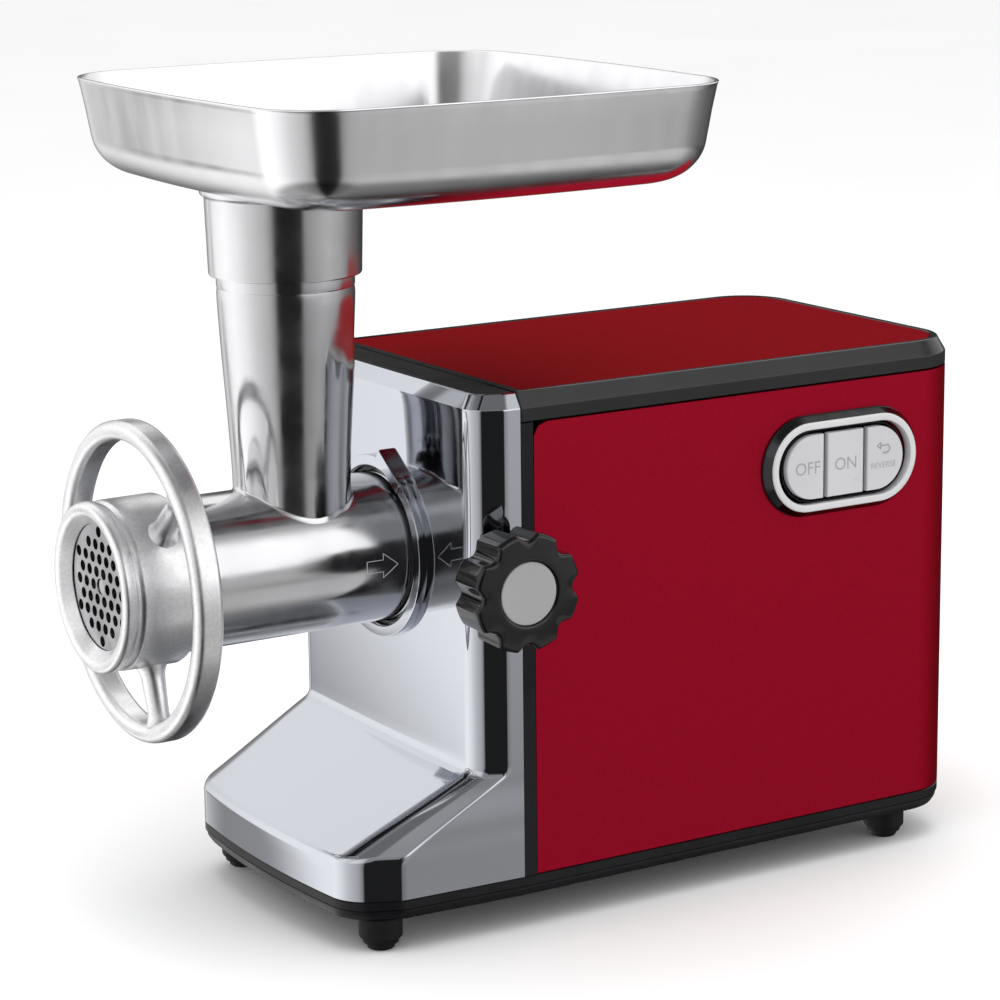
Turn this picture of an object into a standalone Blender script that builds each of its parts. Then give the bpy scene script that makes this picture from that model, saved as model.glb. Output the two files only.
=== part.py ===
"""Electric meat grinder: a motor housing with a gear train that drives a removable grinding head.

Lengths and places are in millimetres and MM turns them into metres. X runs across the machine, with the
controls and the lock knob on +X. The outlet faces -Y and +Z is up. Y = 0 is the seam between the front
casing and the rest of the housing. The empty named machine shifts everything so that the world origin is
the bottom centre of the whole.
"""
import math

import bmesh
import bpy
from mathutils import Matrix, Vector

MM = 0.001
GAP = 0.3                      # between touching pieces
RUN = 0.4                      # running clearance
MERGE = 0.00005                # metres

# Housing
HALF_WIDTH = 87.0
REAR_Y = 256.0
REAR_CORNER = 30.0
FOOT_HEIGHT = 16.0
BASE_TOP = 25.7
SHELL_TOP = 236.3
RIM_EDGE_Z = 243.0
TOP_Z = 250.0
CHAMFER = 4.4
SHEET = 1.4                    # painted sheet of the wrap
FRAME_Y = 7.0                  # rear edge of the dark front frame
FRAME_FLANGE = 16.0            # how far the frame's flange reaches under the wrap
FACE_Y = -23.0                 # upright face of the front casing
CASING_WALL = 2.4
FACE_CORNER = 12.5             # the upright face turns into the sides on this radius
TOE_CORNER_Y = -83.5
TOE_HALF_WIDTH = 84.0
TOE_BOW = 6.5                  # how far the foot's front bulges
TOE_CORNER = 21.0
LIP_Z = 49.0                   # top of the foot's front lip
HEEL_Z = 77.0                  # where the foot's slope meets the upright face
SLOPE_START_Y = TOE_CORNER_Y + 7.0
RIM_WALL = 3.2
BORDER = 12.0                  # width of the ledge ring on top
PANEL_LEDGE_Z = TOP_Z - 2.8    # ledge that carries the top panel
PANEL_INSET = 7.6
PANEL_HALF = HALF_WIDTH - PANEL_INSET
PANEL_FRONT = 4.6
PANEL_REAR = REAR_Y - PANEL_INSET
PANEL_CORNER = REAR_CORNER - PANEL_INSET
PANEL_EDGE = 0.7               # chamfer of the top panel's edge
STRIP_THICKNESS = 2.5
INLET_X = 40.0
INLET_Z = 52.0
INLET_R = 7.0
INLET_PROUD = 3.0

# Base, its air slots, screws and feet
FLOOR = 2.0
FLOOR_Z = FOOT_HEIGHT + FLOOR
SLOT_ROWS_X = (-38.0, 38.0)
SLOT_COUNT = 6
SLOT_FIRST_Y = 108.0
SLOT_PITCH = 14.0
SLOT_HALF_LENGTH = 14.0
SLOT_HALF_WIDTH = 2.5
BASE_SCREW_X = 50.0
BASE_SCREW_ENDS = (("front", -40.0), ("rear", 200.0))
BASE_SCREW_R = 2.0
BASE_SCREW_HEAD_R = 4.2
BASE_SCREW_HEAD = 1.6          # how far the head stands out below
FOOT_X = 68.0
FOOT_ENDS = (("front", -65.0), ("rear", 222.0))
FOOT_R = 10.0
TREAD_R = 5.6
TREAD = 2.8                    # height of the small tread

# Axes of the drive, as (x, z)
HEAD_Z = 167.3
OUTPUT_AXIS = (0.0, HEAD_Z)
HEAD_AXIS = (0.0, 0.0, HEAD_Z)
SECOND_ANGLE = -127.0          # degrees from the output axis to the second cluster's axis
FIRST_ANGLE = -50.0
MOTOR_ANGLE = -78.0
MODULES = (1.0, 1.25, 1.75)
PINION_TEETH = (9, 9, 10)
WHEEL_TEETH = (45, 40, 38)
GEARBOX_FRONT = 14.0
GEARBOX_COVER_Y = 82.0
GEARBOX_X = (-56.0, 42.0)
GEARBOX_Z = (68.0, 208.0)
GEARBOX_WALL = 4.0
GEARBOX_CORNER = 14.0
GEARBOX_SCREW_INSET = 7.5
GEARBOX_SCREW_R = 2.0
GEAR_PIN_R = 3.0
OUTPUT_SHAFT_R = 8.0
OUTPUT_BEARING_R = 14.0
HEX_R = 8.2                    # to the corners of the worm's hexagonal tail

# Grinding head
BARREL_R = 34.7
BARREL_BORE = 29.5
BARREL_FRONT = -163.0
BARREL_REAR = -2.0
NECK_Y = -69.0
NECK_TOP_Z = 334.0
SLEEVE_BOTTOM_Z = 299.0
NECK_FOOT_Z = 196.0            # the neck flares into the barrel below this
NECK_R = 31.2
NECK_ROOT_R = 26.0
NECK_BORE = 27.0
NECK_ROOT_BORE = 22.0
PLATE_R = 31.0
PLATE_FRONT = -165.2
PLATE_BACK = -159.7
PLATE_HOLE_R = 2.5
PLATE_PITCH = 7.2
NUT_FRONT = -171.0
NUT_REAR = -134.0
NUT_R = 38.5
NUT_BORE = 35.1
WHEEL_R = 72.5
WHEEL_INNER_R = 64.0
WHEEL_FRONT = -153.0
WHEEL_REAR = -140.0
SPOKE_ANGLES = (45.0, 165.0, 285.0)
SPOKE_ROOT_R = 6.5
SPOKE_TIP_R = 5.0
MOUTH_R = 28.5                 # the nut's opening in front of the plate
WORM_R = 28.7
WORM_CORE_R = 12.0
WORM_PITCH = 26.0
WORM_FRONT = -150.0
WORM_BACK = -28.0
JOURNAL_R = 10.0
SQUARE_HALF = 4.5              # the worm's square nose, which drives the blade
STUD_R = 3.4
KEY_PIN_R = 1.2
SOCKET_BORE = BARREL_R + 1.0
SOCKET_OUTER = 39.5
SOCKET_FLANGE_R = 47.0
RING_R = 45.0                  # bright ring round the socket

# Tray
TRAY_Y = -12.0
TRAY_HALF_X = 115.5
TRAY_HALF_Y = 115.0
TRAY_BOW = 3.0
TRAY_CORNER = 34.0
TRAY_RIM_Z = 383.0
TRAY_FLOOR_Z = 338.0
TRAY_WALL = 1.5
TRAY_FLARE = 9.0
TRAY_CORNER_SHARE = 0.6        # how much of an inset the corner radius gives up
SLEEVE_FLANGE_R = 37.5

# Lock knob and clamp screw, on an axis along X
KNOB_Y = -14.5
KNOB_AXIS = (0.0, KNOB_Y, HEAD_Z)
KNOB_BACK_X = 95.0
KNOB_FACE_X = 117.0
KNOB_R = 27.0
KNOB_SCALLOP = 4.2             # depth of the notch between two lobes
KNOB_LOBES = 8
KNOB_HUB_R = 12.0
KNOB_RECESS = 2.6
CAP_R = 14.2
SCREW_R = 3.0

# Control panel on the +X side
PANEL_Y = 177.0
PANEL_Z = 198.3
PANEL_HALF_LENGTH = 45.2
PANEL_R = 24.2
BUTTON_R = 16.2
BUTTON_HALF_LENGTH = 35.0
BUTTON_FACE_X = 92.3
BUTTON_NAMES = ("off", "on", "reverse")
BUTTON_THICKNESS = 3.2
BUTTON_SPLIT = 0.4             # half the gap between two buttons
STEM_R = 4.0
STEM_LENGTH = 16.0
SWITCH_X = 63.0
SWITCH_HALF = 6.0
WELL_X = HALF_WIDTH - 6.0
BOARD_X = 61.0

# Motor
MOTOR_BRACKETS_Y = (94.0, 192.0)
BRACKET_THICKNESS = 5.0
STATOR_R = 40.0
ARMATURE_R = 22.3
MOTOR_SHAFT_R = 4.0
MOTOR_PINION_FRONT = 68.5      # the pinion covers the first wheel's width, with its shaft behind both
MOTOR_PINION_BACK = 79.0
PINION_OVERLAP = 0.5
MOTOR_SHAFT_HOLE_R = 7.0
MOTOR_BEARING_R = 8.0
COMMUTATOR_R = 12.0
FAN_BLADES = 9

# How an object's local +Z is turned, as Euler angles
AXES = {"Z": (0.0, 0.0, 0.0), "-Y": (math.pi / 2, 0.0, 0.0), "X": (math.pi / 2, 0.0, math.pi / 2)}

# Colours, roughness and metallic value by material
LOOKS = {
    "chrome": ((0.80, 0.81, 0.83), 0.08, 1.0),
    "polished_aluminium": ((0.74, 0.74, 0.75), 0.25, 1.0),
    "satin_aluminium": ((0.72, 0.72, 0.73), 0.42, 1.0),
    "cast_grey": ((0.45, 0.46, 0.47), 0.55, 1.0),
    "steel": ((0.60, 0.60, 0.61), 0.3, 1.0),
    "red_paint": ((0.36, 0.01, 0.02), 0.3, 0.5),
    "black_plastic": ((0.02, 0.02, 0.022), 0.4, 0.0),
    "black_rubber": ((0.015, 0.015, 0.015), 0.75, 0.0),
    "gloss_black": ((0.01, 0.01, 0.011), 0.15, 0.0),
    "cap_grey": ((0.42, 0.42, 0.43), 0.45, 0.3),
    "button_silver": ((0.62, 0.62, 0.64), 0.35, 0.6),
    "white_plastic": ((0.75, 0.74, 0.70), 0.5, 0.0),
    "green_board": ((0.02, 0.16, 0.07), 0.5, 0.0),
    "copper": ((0.60, 0.25, 0.12), 0.35, 1.0),
    "brass": ((0.70, 0.52, 0.24), 0.3, 1.0),
    "carbon": ((0.04, 0.04, 0.045), 0.6, 0.0),
}


# ---------------------------------------------------------------- scene and objects

def clear_scene():
    for obj in list(bpy.data.objects):
        bpy.data.objects.remove(obj, do_unlink=True)


def new_collection(name):
    collection = bpy.data.collections.new(name)
    bpy.context.scene.collection.children.link(collection)
    return collection


def material(name, look):
    """A material of its own for each sub-part, from the table of looks."""
    colour, roughness, metallic = LOOKS[look]
    result = bpy.data.materials.new(name)
    result.use_nodes = True
    result.diffuse_color = (*colour, 1.0)
    shader = result.node_tree.nodes["Principled BSDF"]
    shader.inputs["Base Color"].default_value = (*colour, 1.0)
    shader.inputs["Roughness"].default_value = roughness
    shader.inputs["Metallic"].default_value = metallic
    return result


def add_object(name, mesh, look, centre=(0, 0, 0), axis="Z"):
    """Puts a mesh in the machine with its origin at centre. Without a look it is a cutter or joining tool."""
    obj = bpy.data.objects.new(name, mesh)
    obj.parent = MACHINE
    obj.location = Vector(centre) * MM
    obj.rotation_euler = AXES[axis]
    if look is None:
        CUTTERS.objects.link(obj)
        obj.hide_render = True
        obj.display_type = "WIRE"
    else:
        PARTS.objects.link(obj)
        obj.data.materials.append(material(name, look))
    return obj


def modified(obj, kind, **values):
    modifier = obj.modifiers.new(kind.title(), kind)
    for key, value in values.items():
        setattr(modifier, key, value)


def cut(obj, tool):
    modified(obj, "BOOLEAN", operation="DIFFERENCE", object=tool)


def join(obj, tool):
    modified(obj, "BOOLEAN", operation="UNION", object=tool)


def smooth(obj, degrees=35):
    obj.data.shade_smooth()
    obj.data.set_sharp_from_angle(angle=math.radians(degrees))
    return obj


# ---------------------------------------------------------------- outlines, all in millimetres

def polar(radius, degrees):
    return (radius * math.cos(math.radians(degrees)), radius * math.sin(math.radians(degrees)))


def circle(radius, steps=32, centre=(0, 0), phase=0.0):
    return [(centre[0] + x, centre[1] + y)
            for x, y in (polar(radius, phase + 360 * i / steps) for i in range(steps))]


def rounded(points, radii, steps=4, closed=True):
    """The outline through the points with each corner turned by an arc of its own radius."""
    outline = []
    count = len(points)
    for i, (point, radius) in enumerate(zip(points, radii)):
        here = Vector(point)
        if radius <= 0 or (not closed and i in (0, count - 1)):
            outline.append(tuple(here))
            continue
        back = (Vector(points[i - 1]) - here).normalized()
        ahead = (Vector(points[(i + 1) % count]) - here).normalized()
        half = back.angle(ahead) / 2
        centre = here + (back + ahead).normalized() * (radius / math.sin(half))
        start = here + back * (radius / math.tan(half)) - centre
        end = here + ahead * (radius / math.tan(half)) - centre
        turn = start.angle(end)
        for k in range(steps + 1):
            share = k / steps
            spoke = (start * math.sin((1 - share) * turn) + end * math.sin(share * turn)) / math.sin(turn)
            outline.append(tuple(centre + spoke))
    return outline


def rounded_box(x0, x1, y0, y1, radius, steps=4):
    return rounded([(x1, y0), (x1, y1), (x0, y1), (x0, y0)], [radius] * 4, steps)


def stadium(half_length, radius, steps=8):
    """Long along the first axis."""
    straight = half_length - radius
    ends = [(straight + x, y) for x, y in (polar(radius, -90 + 180 * i / steps) for i in range(steps + 1))]
    return ends + [(-x, -y) for x, y in ends]


def gear(teeth, module, phase):
    """A spur wheel's outline with one tooth centred on the phase, in degrees."""
    pitch_r = teeth * module / 2
    root, tip = pitch_r - 1.15 * module, pitch_r + 0.75 * module
    shape = ((root, -0.27), (tip, -0.09), (tip, 0.09), (root, 0.27))
    step = 360 / teeth
    return [polar(radius, phase + (tooth + share) * step)
            for tooth in range(teeth) for radius, share in shape]


# ---------------------------------------------------------------- solids, all in millimetres

def curve_mesh(outlines, depth):
    """A flat outline, with any holes, made solid from z = 0 to z = depth."""
    curve = bpy.data.curves.new("outline", "CURVE")
    curve.dimensions = "2D"
    curve.fill_mode = "BOTH"
    curve.extrude = depth * MM / 2
    for outline in outlines:
        spline = curve.splines.new("POLY")
        spline.points.add(len(outline) - 1)
        for point, (x, y) in zip(spline.points, outline):
            point.co = (x * MM, y * MM, 0, 1)
        spline.use_cyclic_u = True
    holder = bpy.data.objects.new("outline", curve)
    bpy.context.scene.collection.objects.link(holder)
    bpy.context.view_layer.update()
    mesh = bpy.data.meshes.new_from_object(holder.evaluated_get(bpy.context.evaluated_depsgraph_get()))
    bpy.data.objects.remove(holder, do_unlink=True)
    work = bmesh.new()
    work.from_mesh(mesh)
    bmesh.ops.translate(work, verts=work.verts, vec=(0, 0, depth * MM / 2))
    bmesh.ops.remove_doubles(work, verts=work.verts, dist=MERGE)
    bmesh.ops.recalc_face_normals(work, faces=work.faces)
    work.to_mesh(mesh)
    work.free()
    return mesh


def plate(name, outlines, depth, look, centre=(0, 0, 0), axis="Z"):
    return add_object(name, curve_mesh(outlines, depth), look, centre, axis)


def turned(name, profile, look, centre=(0, 0, 0), axis="Z", steps=24):
    """A profile of (radius, height) points about local Z. A profile that leaves the axis is a closed ring."""
    mesh = bpy.data.meshes.new(name)
    points = [(radius * MM, 0, height * MM) for radius, height in profile]
    edges = [(i, i + 1) for i in range(len(points) - 1)]
    if profile[0][0] > 0:
        edges.append((len(points) - 1, 0))
    mesh.from_pydata(points, edges, [])
    obj = add_object(name, mesh, look, centre, axis)
    modified(obj, "SCREW", axis="Z", steps=steps, render_steps=steps, use_merge_vertices=True,
             merge_threshold=MERGE, use_smooth_shade=False)
    return obj


def tube_profile(inner, outer, low, high):
    return [(inner, high), (outer, high), (outer, low), (inner, low)]


def rod_profile(radius, low, high, chamfer=0.0):
    """Chamfered at its high end."""
    if not chamfer:
        return [(0, high), (radius, high), (radius, low), (0, low)]
    return [(0, high), (radius - chamfer, high), (radius, high - chamfer), (radius, low), (0, low)]


def box(name, low, high, look, bevel=0.0):
    """A box between two corners, with its origin at its middle."""
    low, high = Vector(low), Vector(high)
    work = bmesh.new()
    bmesh.ops.create_cube(work, size=MM, matrix=Matrix.Diagonal((*(high - low), 1)))
    mesh = bpy.data.meshes.new(name)
    work.to_mesh(mesh)
    work.free()
    obj = add_object(name, mesh, look, (low + high) / 2)
    if bevel:
        modified(obj, "BEVEL", width=bevel * MM, segments=2)
    return obj


def loft_mesh(name, sections, ring=False, path_open=False):
    """Skin through sections of equal count. Each is a list of (x, y, z). A ring joins last to first."""
    work = bmesh.new()
    rows = [[work.verts.new(Vector(point) * MM) for point in section] for section in sections]
    count = len(rows[0])
    for i in range(len(rows) if ring else len(rows) - 1):
        low, high = rows[i], rows[(i + 1) % len(rows)]
        for k in range(count - 1 if path_open else count):
            after = (k + 1) % count
            work.faces.new((low[k], low[after], high[after], high[k]))
    if not ring and not path_open:
        work.faces.new(rows[0])
        work.faces.new(rows[-1])
    if not path_open:
        bmesh.ops.recalc_face_normals(work, faces=work.faces)
    mesh = bpy.data.meshes.new(name)
    work.to_mesh(mesh)
    work.free()
    return mesh


def at_height(outline, z):
    return [(x, y, z) for x, y in outline]


# ---------------------------------------------------------------- housing

def housing_outline(inset=0.0):
    side, rear = HALF_WIDTH - inset, REAR_Y - inset
    corner = REAR_CORNER - inset
    points = [(side, FRAME_Y), (side, rear), (-side, rear), (-side, FRAME_Y)]
    return rounded(points, [0, corner, corner, 0], 5)


def casing_section(z, front_y, side, corner, bow, root_side):
    """The front casing's plan at one height: an open path from the seam round the front and back."""
    path = rounded([(root_side, 0), (side, front_y), (-side, front_y), (-root_side, 0)],
                   [0, corner, corner, 0], 5, closed=False)
    half = len(path) // 2
    right, left = path[:half], path[half:]
    edge = right[-1][0]
    middle = [(edge * share, front_y - bow * (1 - share * share)) for share in (0.6, 0.2, -0.2, -0.6)]
    return at_height(right + middle + left, z)


def foot_share(z):
    """0 at the lip's top and 1 where the slope meets the upright face."""
    return (z - LIP_Z) / (HEEL_Z - LIP_Z)


def casing_sections():
    """From the lip up the foot's slope and the upright face to the chamfer at the top."""
    sections = []
    for z, front in ((BASE_TOP + GAP, TOE_CORNER_Y), (30.0, TOE_CORNER_Y), (LIP_Z - 2.5, TOE_CORNER_Y + 4.0)):
        sections.append(casing_section(z, front, TOE_HALF_WIDTH, TOE_CORNER, TOE_BOW, HALF_WIDTH))
    for z in (LIP_Z, 56.0, 66.0, HEEL_Z - 1.5):
        share = foot_share(z)
        front = SLOPE_START_Y + (FACE_Y - SLOPE_START_Y) * share
        side = TOE_HALF_WIDTH + (HALF_WIDTH - TOE_HALF_WIDTH) * share
        corner = TOE_CORNER + (FACE_CORNER - TOE_CORNER) * share
        sections.append(casing_section(z, front, side, corner, TOE_BOW * (1 - share), HALF_WIDTH))
    for z in (HEEL_Z + 1.0, RIM_EDGE_Z):
        sections.append(casing_section(z, FACE_Y, HALF_WIDTH, FACE_CORNER, 0.0, HALF_WIDTH))
    top = HALF_WIDTH - CHAMFER
    sections.append(casing_section(TOP_Z - GAP, FACE_Y + CHAMFER, top, FACE_CORNER - CHAMFER / 2, 0.0, top))
    return sections


def base_outline(inset):
    """The base in plan: straight sides, round rear corners, tapering toes and a bowed front."""
    half, toe = HALF_WIDTH - inset, TOE_HALF_WIDTH - inset
    rear, corner_y = REAR_Y - inset, TOE_CORNER_Y + inset
    corner = REAR_CORNER - inset
    outline = rounded([(toe, corner_y), (half, 0), (half, rear), (-half, rear), (-half, 0), (-toe, corner_y)],
                      [TOE_CORNER - inset, 0, corner, corner, 0, TOE_CORNER - inset], 6)
    edge = outline[0][0]
    front = [(edge * share, corner_y - TOE_BOW * (1 - share * share)) for share in (-0.6, -0.2, 0.2, 0.6)]
    return outline + front


def base_piece():
    """A shallow pan with air slots through its floor."""
    sections = [at_height(base_outline(inset), z) for inset, z in
                ((3.0, FOOT_HEIGHT), (0.6, FOOT_HEIGHT + 3.0), (0.0, FOOT_HEIGHT + 4.5), (0.0, BASE_TOP),
                 (3.0, BASE_TOP), (3.6, FLOOR_Z), (4.0, FLOOR_Z))]
    obj = smooth(add_object("base", loft_mesh("base", sections), "black_plastic"))
    for row, x in enumerate(SLOT_ROWS_X):
        for i in range(SLOT_COUNT):
            y = SLOT_FIRST_Y + SLOT_PITCH * i
            low = (x - SLOT_HALF_LENGTH, y - SLOT_HALF_WIDTH, FOOT_HEIGHT - 6)
            high = (x + SLOT_HALF_LENGTH, y + SLOT_HALF_WIDTH, FLOOR_Z + 4)
            cut(obj, box(f"cut_base_slot_{row}_{i}", low, high, None))
    for name, x, y in base_screw_places():
        shank = rod_profile(BASE_SCREW_R + RUN, FOOT_HEIGHT - 6, FLOOR_Z + 12)
        recess = rod_profile(BASE_SCREW_HEAD_R + RUN, FOOT_HEIGHT - 6, FOOT_HEIGHT + 0.8)
        cut(obj, turned(f"cut_{name}", shank, None, (x, y, 0), steps=12))
        cut(obj, turned(f"cut_head_{name}", recess, None, (x, y, 0), steps=12))
    return obj


def base_screw_places():
    for end, y in BASE_SCREW_ENDS:
        for side, x in (("left", -BASE_SCREW_X), ("right", BASE_SCREW_X)):
            yield f"base_screw_{end}_{side}", x, y


def base_screws():
    seat, low = FOOT_HEIGHT + 0.5, FOOT_HEIGHT - BASE_SCREW_HEAD
    profile = [(0, BASE_TOP), (BASE_SCREW_R, BASE_TOP), (BASE_SCREW_R, seat), (BASE_SCREW_HEAD_R, seat),
               (BASE_SCREW_HEAD_R, low), (0, low)]
    for name, x, y in base_screw_places():
        smooth(turned(name, profile, "steel", (x, y, 0), steps=12))


def feet():
    """A wide rubber foot with a smaller tread."""
    top = FOOT_HEIGHT - GAP
    profile = [(0, top), (FOOT_R, top), (FOOT_R, TREAD + 2.7), (FOOT_R - 1.4, TREAD), (TREAD_R + 0.8, TREAD),
               (TREAD_R, 0), (0, 0)]
    for end, y in FOOT_ENDS:
        for side, x in (("left", -FOOT_X), ("right", FOOT_X)):
            smooth(turned(f"foot_{end}_{side}", profile, "black_rubber", (x, y, 0), steps=16))


def front_casing():
    """A bent sheet with a round hole for the socket and one in its side for the clamp screw."""
    mesh = loft_mesh("front_casing", casing_sections()[::-1], path_open=True)
    obj = add_object("front_casing", mesh, "chrome")
    modified(obj, "SOLIDIFY", thickness=CASING_WALL * MM, offset=-1, use_even_offset=True, thickness_clamp=0)
    cut(obj, turned("cut_casing_socket", rod_profile(SOCKET_OUTER + GAP, 0, 40), None, HEAD_AXIS, "-Y"))
    screw_hole = rod_profile(SCREW_R + 3 * RUN, HALF_WIDTH - 27, HALF_WIDTH + 13)
    cut(obj, turned("cut_casing_screw", screw_hole, None, KNOB_AXIS, "X", 16))
    return smooth(obj)


def front_frame():
    """The dark frame between the casing and the red wrap, with a flange that locates the wrap."""
    face = rounded_box(-HALF_WIDTH, HALF_WIDTH, BASE_TOP + GAP, SHELL_TOP, 0.0)
    hole = rounded_box(-HALF_WIDTH + 11, HALF_WIDTH - 11, BASE_TOP + 10.3, SHELL_TOP - 10.3, 6)
    obj = plate("front_frame", [face, hole], FRAME_Y - GAP * 2, "black_plastic", (0, FRAME_Y - GAP, 0), "-Y")
    outer = HALF_WIDTH - SHEET - GAP
    outlines = [rounded_box(-outer, outer, BASE_TOP + 6.3, SHELL_TOP - 5.3, 4),
                rounded_box(-HALF_WIDTH + 8, HALF_WIDTH - 8, BASE_TOP + 8.8, SHELL_TOP - 8.3, 4)]
    centre = (0, FRAME_Y + FRAME_FLANGE - 3, 0)
    join(obj, plate("join_frame_flange", outlines, FRAME_FLANGE, None, centre, "-Y"))
    return obj


def body_shell():
    """The painted wrap: one sheet bent round both sides and the back."""
    height = SHELL_TOP - BASE_TOP - 2 * GAP
    sheet = housing_outline() + housing_outline(SHEET)[::-1]
    obj = plate("body_shell", [sheet], height, "red_paint", (0, 0, BASE_TOP + GAP))
    opening = stadium(BUTTON_HALF_LENGTH + 2.2, BUTTON_R + 2.2)
    cut(obj, plate("cut_shell_panel", [opening], 20, None, (HALF_WIDTH - 12, PANEL_Y, PANEL_Z), "X"))
    cut(obj, turned("cut_shell_inlet", rod_profile(INLET_R + GAP, -20, 20), None,
                    (INLET_X, REAR_Y, INLET_Z), "-Y", 20))
    return smooth(obj)


def rim_outline(inset, front):
    side, rear = HALF_WIDTH - inset, REAR_Y - inset
    corner = max(REAR_CORNER - inset, 6.0)
    points = [(side, front), (side, rear), (-side, rear), (-side, front)]
    return rounded(points, [0.6, corner, corner, 0.6], 5)


def top_rim():
    """A ring: band, chamfer, flat border and the ledge that carries the top panel."""
    edge, wall_low = PANEL_INSET - GAP, RIM_EDGE_Z - 2.0
    steps = ((0.0, 0.6, SHELL_TOP + GAP), (0.0, 0.6, RIM_EDGE_Z), (CHAMFER, 0.6, TOP_Z),
             (edge, PANEL_FRONT - GAP, TOP_Z), (edge, PANEL_FRONT - GAP, PANEL_LEDGE_Z),
             (BORDER, 9.0, PANEL_LEDGE_Z), (BORDER, 9.0, PANEL_LEDGE_Z - 2.0),
             (6.5, 4.0, PANEL_LEDGE_Z - 2.0), (RIM_WALL, 3.6, wall_low), (RIM_WALL, 3.6, SHELL_TOP + GAP))
    sections = [at_height(rim_outline(inset, front), z) for inset, front, z in steps]
    return smooth(add_object("top_rim", loft_mesh("top_rim", sections, ring=True), "black_plastic"))


def top_panel_outline(inset):
    half, front, rear = PANEL_HALF - inset, PANEL_FRONT + inset, PANEL_REAR - inset
    near, far = 3.5 - inset, PANEL_CORNER - inset
    return rounded([(half, front), (half, rear), (-half, rear), (-half, front)], [near, far, far, near], 5)


def top_panel():
    sections = [at_height(top_panel_outline(inset), z) for inset, z in
                ((0.0, PANEL_LEDGE_Z + GAP), (0.0, TOP_Z - 0.2 - PANEL_EDGE), (PANEL_EDGE, TOP_Z - 0.2))]
    return smooth(add_object("top_panel", loft_mesh("top_panel", sections), "red_paint"), 20)


def top_front_strip():
    """The dark strip on top that closes the front casing."""
    side = HALF_WIDTH - CHAMFER - CASING_WALL
    front = FACE_Y + CHAMFER + CASING_WALL
    outline = rounded([(side, 0.0), (-side, 0.0), (-side, front), (side, front)], [0.0, 0.0, 11.0, 11.0], 6)
    return plate("top_front_strip", [outline], STRIP_THICKNESS, "black_plastic",
                 (0, 0, TOP_Z - STRIP_THICKNESS - 3 * GAP))


def socket_ring():
    inner, low = SOCKET_OUTER - 1.2, -FACE_Y + GAP
    profile = [(inner, low + 3.9), (RING_R - 1, low + 3.9), (RING_R, low + 2.9), (RING_R, low), (inner, low)]
    smooth(turned("socket_ring", profile, "chrome", HEAD_AXIS, "-Y", 32))


def head_socket():
    """The sleeve that holds the head, with its flange on the gearbox and a boss for the clamp screw."""
    outer, flange_low, flange_high = SOCKET_OUTER - 1.0, -GEARBOX_FRONT + 1.5, -GEARBOX_FRONT + 6.0
    front, hole = -FACE_Y - 0.1, OUTPUT_BEARING_R + 2.5
    profile = [(SOCKET_BORE, front), (outer, front), (outer, flange_high), (SOCKET_FLANGE_R, flange_high),
               (SOCKET_FLANGE_R, flange_low), (hole, flange_low), (hole, flange_high),
               (SOCKET_BORE, flange_high)]
    obj = turned("head_socket", profile, "cast_grey", HEAD_AXIS, "-Y", 22)
    join(obj, turned("join_socket_boss", rod_profile(SCREW_R + 2.7, SOCKET_BORE + 1.0, 62), None,
                     KNOB_AXIS, "X", 16))
    cut(obj, turned("cut_socket_screw", rod_profile(SCREW_R + RUN, 20, 80), None, KNOB_AXIS, "X", 16))
    return smooth(obj)


def cord_inlet():
    """The gland the mains lead would leave through."""
    bore, flange = 3.7, INLET_R + 3.5
    inside = -SHEET - GAP
    profile = [(bore, INLET_PROUD), (INLET_R + 1.0, INLET_PROUD), (flange, 1.2), (flange, GAP),
               (INLET_R, GAP), (INLET_R, inside), (INLET_R + 2.0, inside), (INLET_R + 2.0, -6.0),
               (bore, -6.0)]
    points = [(radius, -height) for radius, height in profile][::-1]
    return smooth(turned("cord_inlet", points, "black_rubber", (INLET_X, REAR_Y, INLET_Z), "-Y", 14))


# ---------------------------------------------------------------- controls

def control_bezel():
    """A raised rim of stadium outline round the three buttons."""
    straight = PANEL_HALF_LENGTH - PANEL_R
    steps = ((PANEL_R, 0.3), (PANEL_R - 0.4, 2.0), (PANEL_R - 2.6, 5.2), (PANEL_R - 3.2, 5.5),
             (BUTTON_R + 1.9, 5.5), (BUTTON_R + 1.5, 5.1), (BUTTON_R + 1.5, 0.3))
    sections = [at_height(stadium(straight + radius, radius), height) for radius, height in steps]
    return smooth(add_object("control_bezel", loft_mesh("control_bezel", sections, ring=True), "chrome",
                             (HALF_WIDTH, PANEL_Y, PANEL_Z), "X"))


def button_spans():
    """Each button's name and its span along the panel, from its middle."""
    third = 2 * BUTTON_HALF_LENGTH / len(BUTTON_NAMES)
    for i, name in enumerate(BUTTON_NAMES):
        low = -BUTTON_HALF_LENGTH + third * i
        is_first, is_last = i == 0, i == len(BUTTON_NAMES) - 1
        yield name, low + BUTTON_SPLIT * (not is_first), low + third - BUTTON_SPLIT * (not is_last)


def control_well():
    """The dark cup behind the buttons, with a hole in its floor for each stem."""
    straight = BUTTON_HALF_LENGTH - BUTTON_R
    outer, inner = BUTTON_R + 1.1, BUTTON_R + 0.5
    obj = plate("control_well", [stadium(straight + outer, outer)], 9.0, "black_plastic",
                (WELL_X, PANEL_Y, PANEL_Z), "X")
    cut(obj, plate("cut_well", [stadium(straight + inner, inner)], 20, None,
                   (WELL_X + 2.0, PANEL_Y, PANEL_Z), "X"))
    for name, low, high in button_spans():
        cut(obj, turned(f"cut_well_{name}", rod_profile(STEM_R + RUN, -10, 10), None,
                        (WELL_X, PANEL_Y + (low + high) / 2, PANEL_Z), "X", 16))
    return obj


def button_outline(low, high):
    """The stadium between two ends, measured from the middle of that span."""
    middle = (low + high) / 2
    held = [(max(low, min(high, y)) - middle, z) for y, z in stadium(BUTTON_HALF_LENGTH, BUTTON_R)]
    return [point for i, point in enumerate(held) if point != held[i - 1]]


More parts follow.
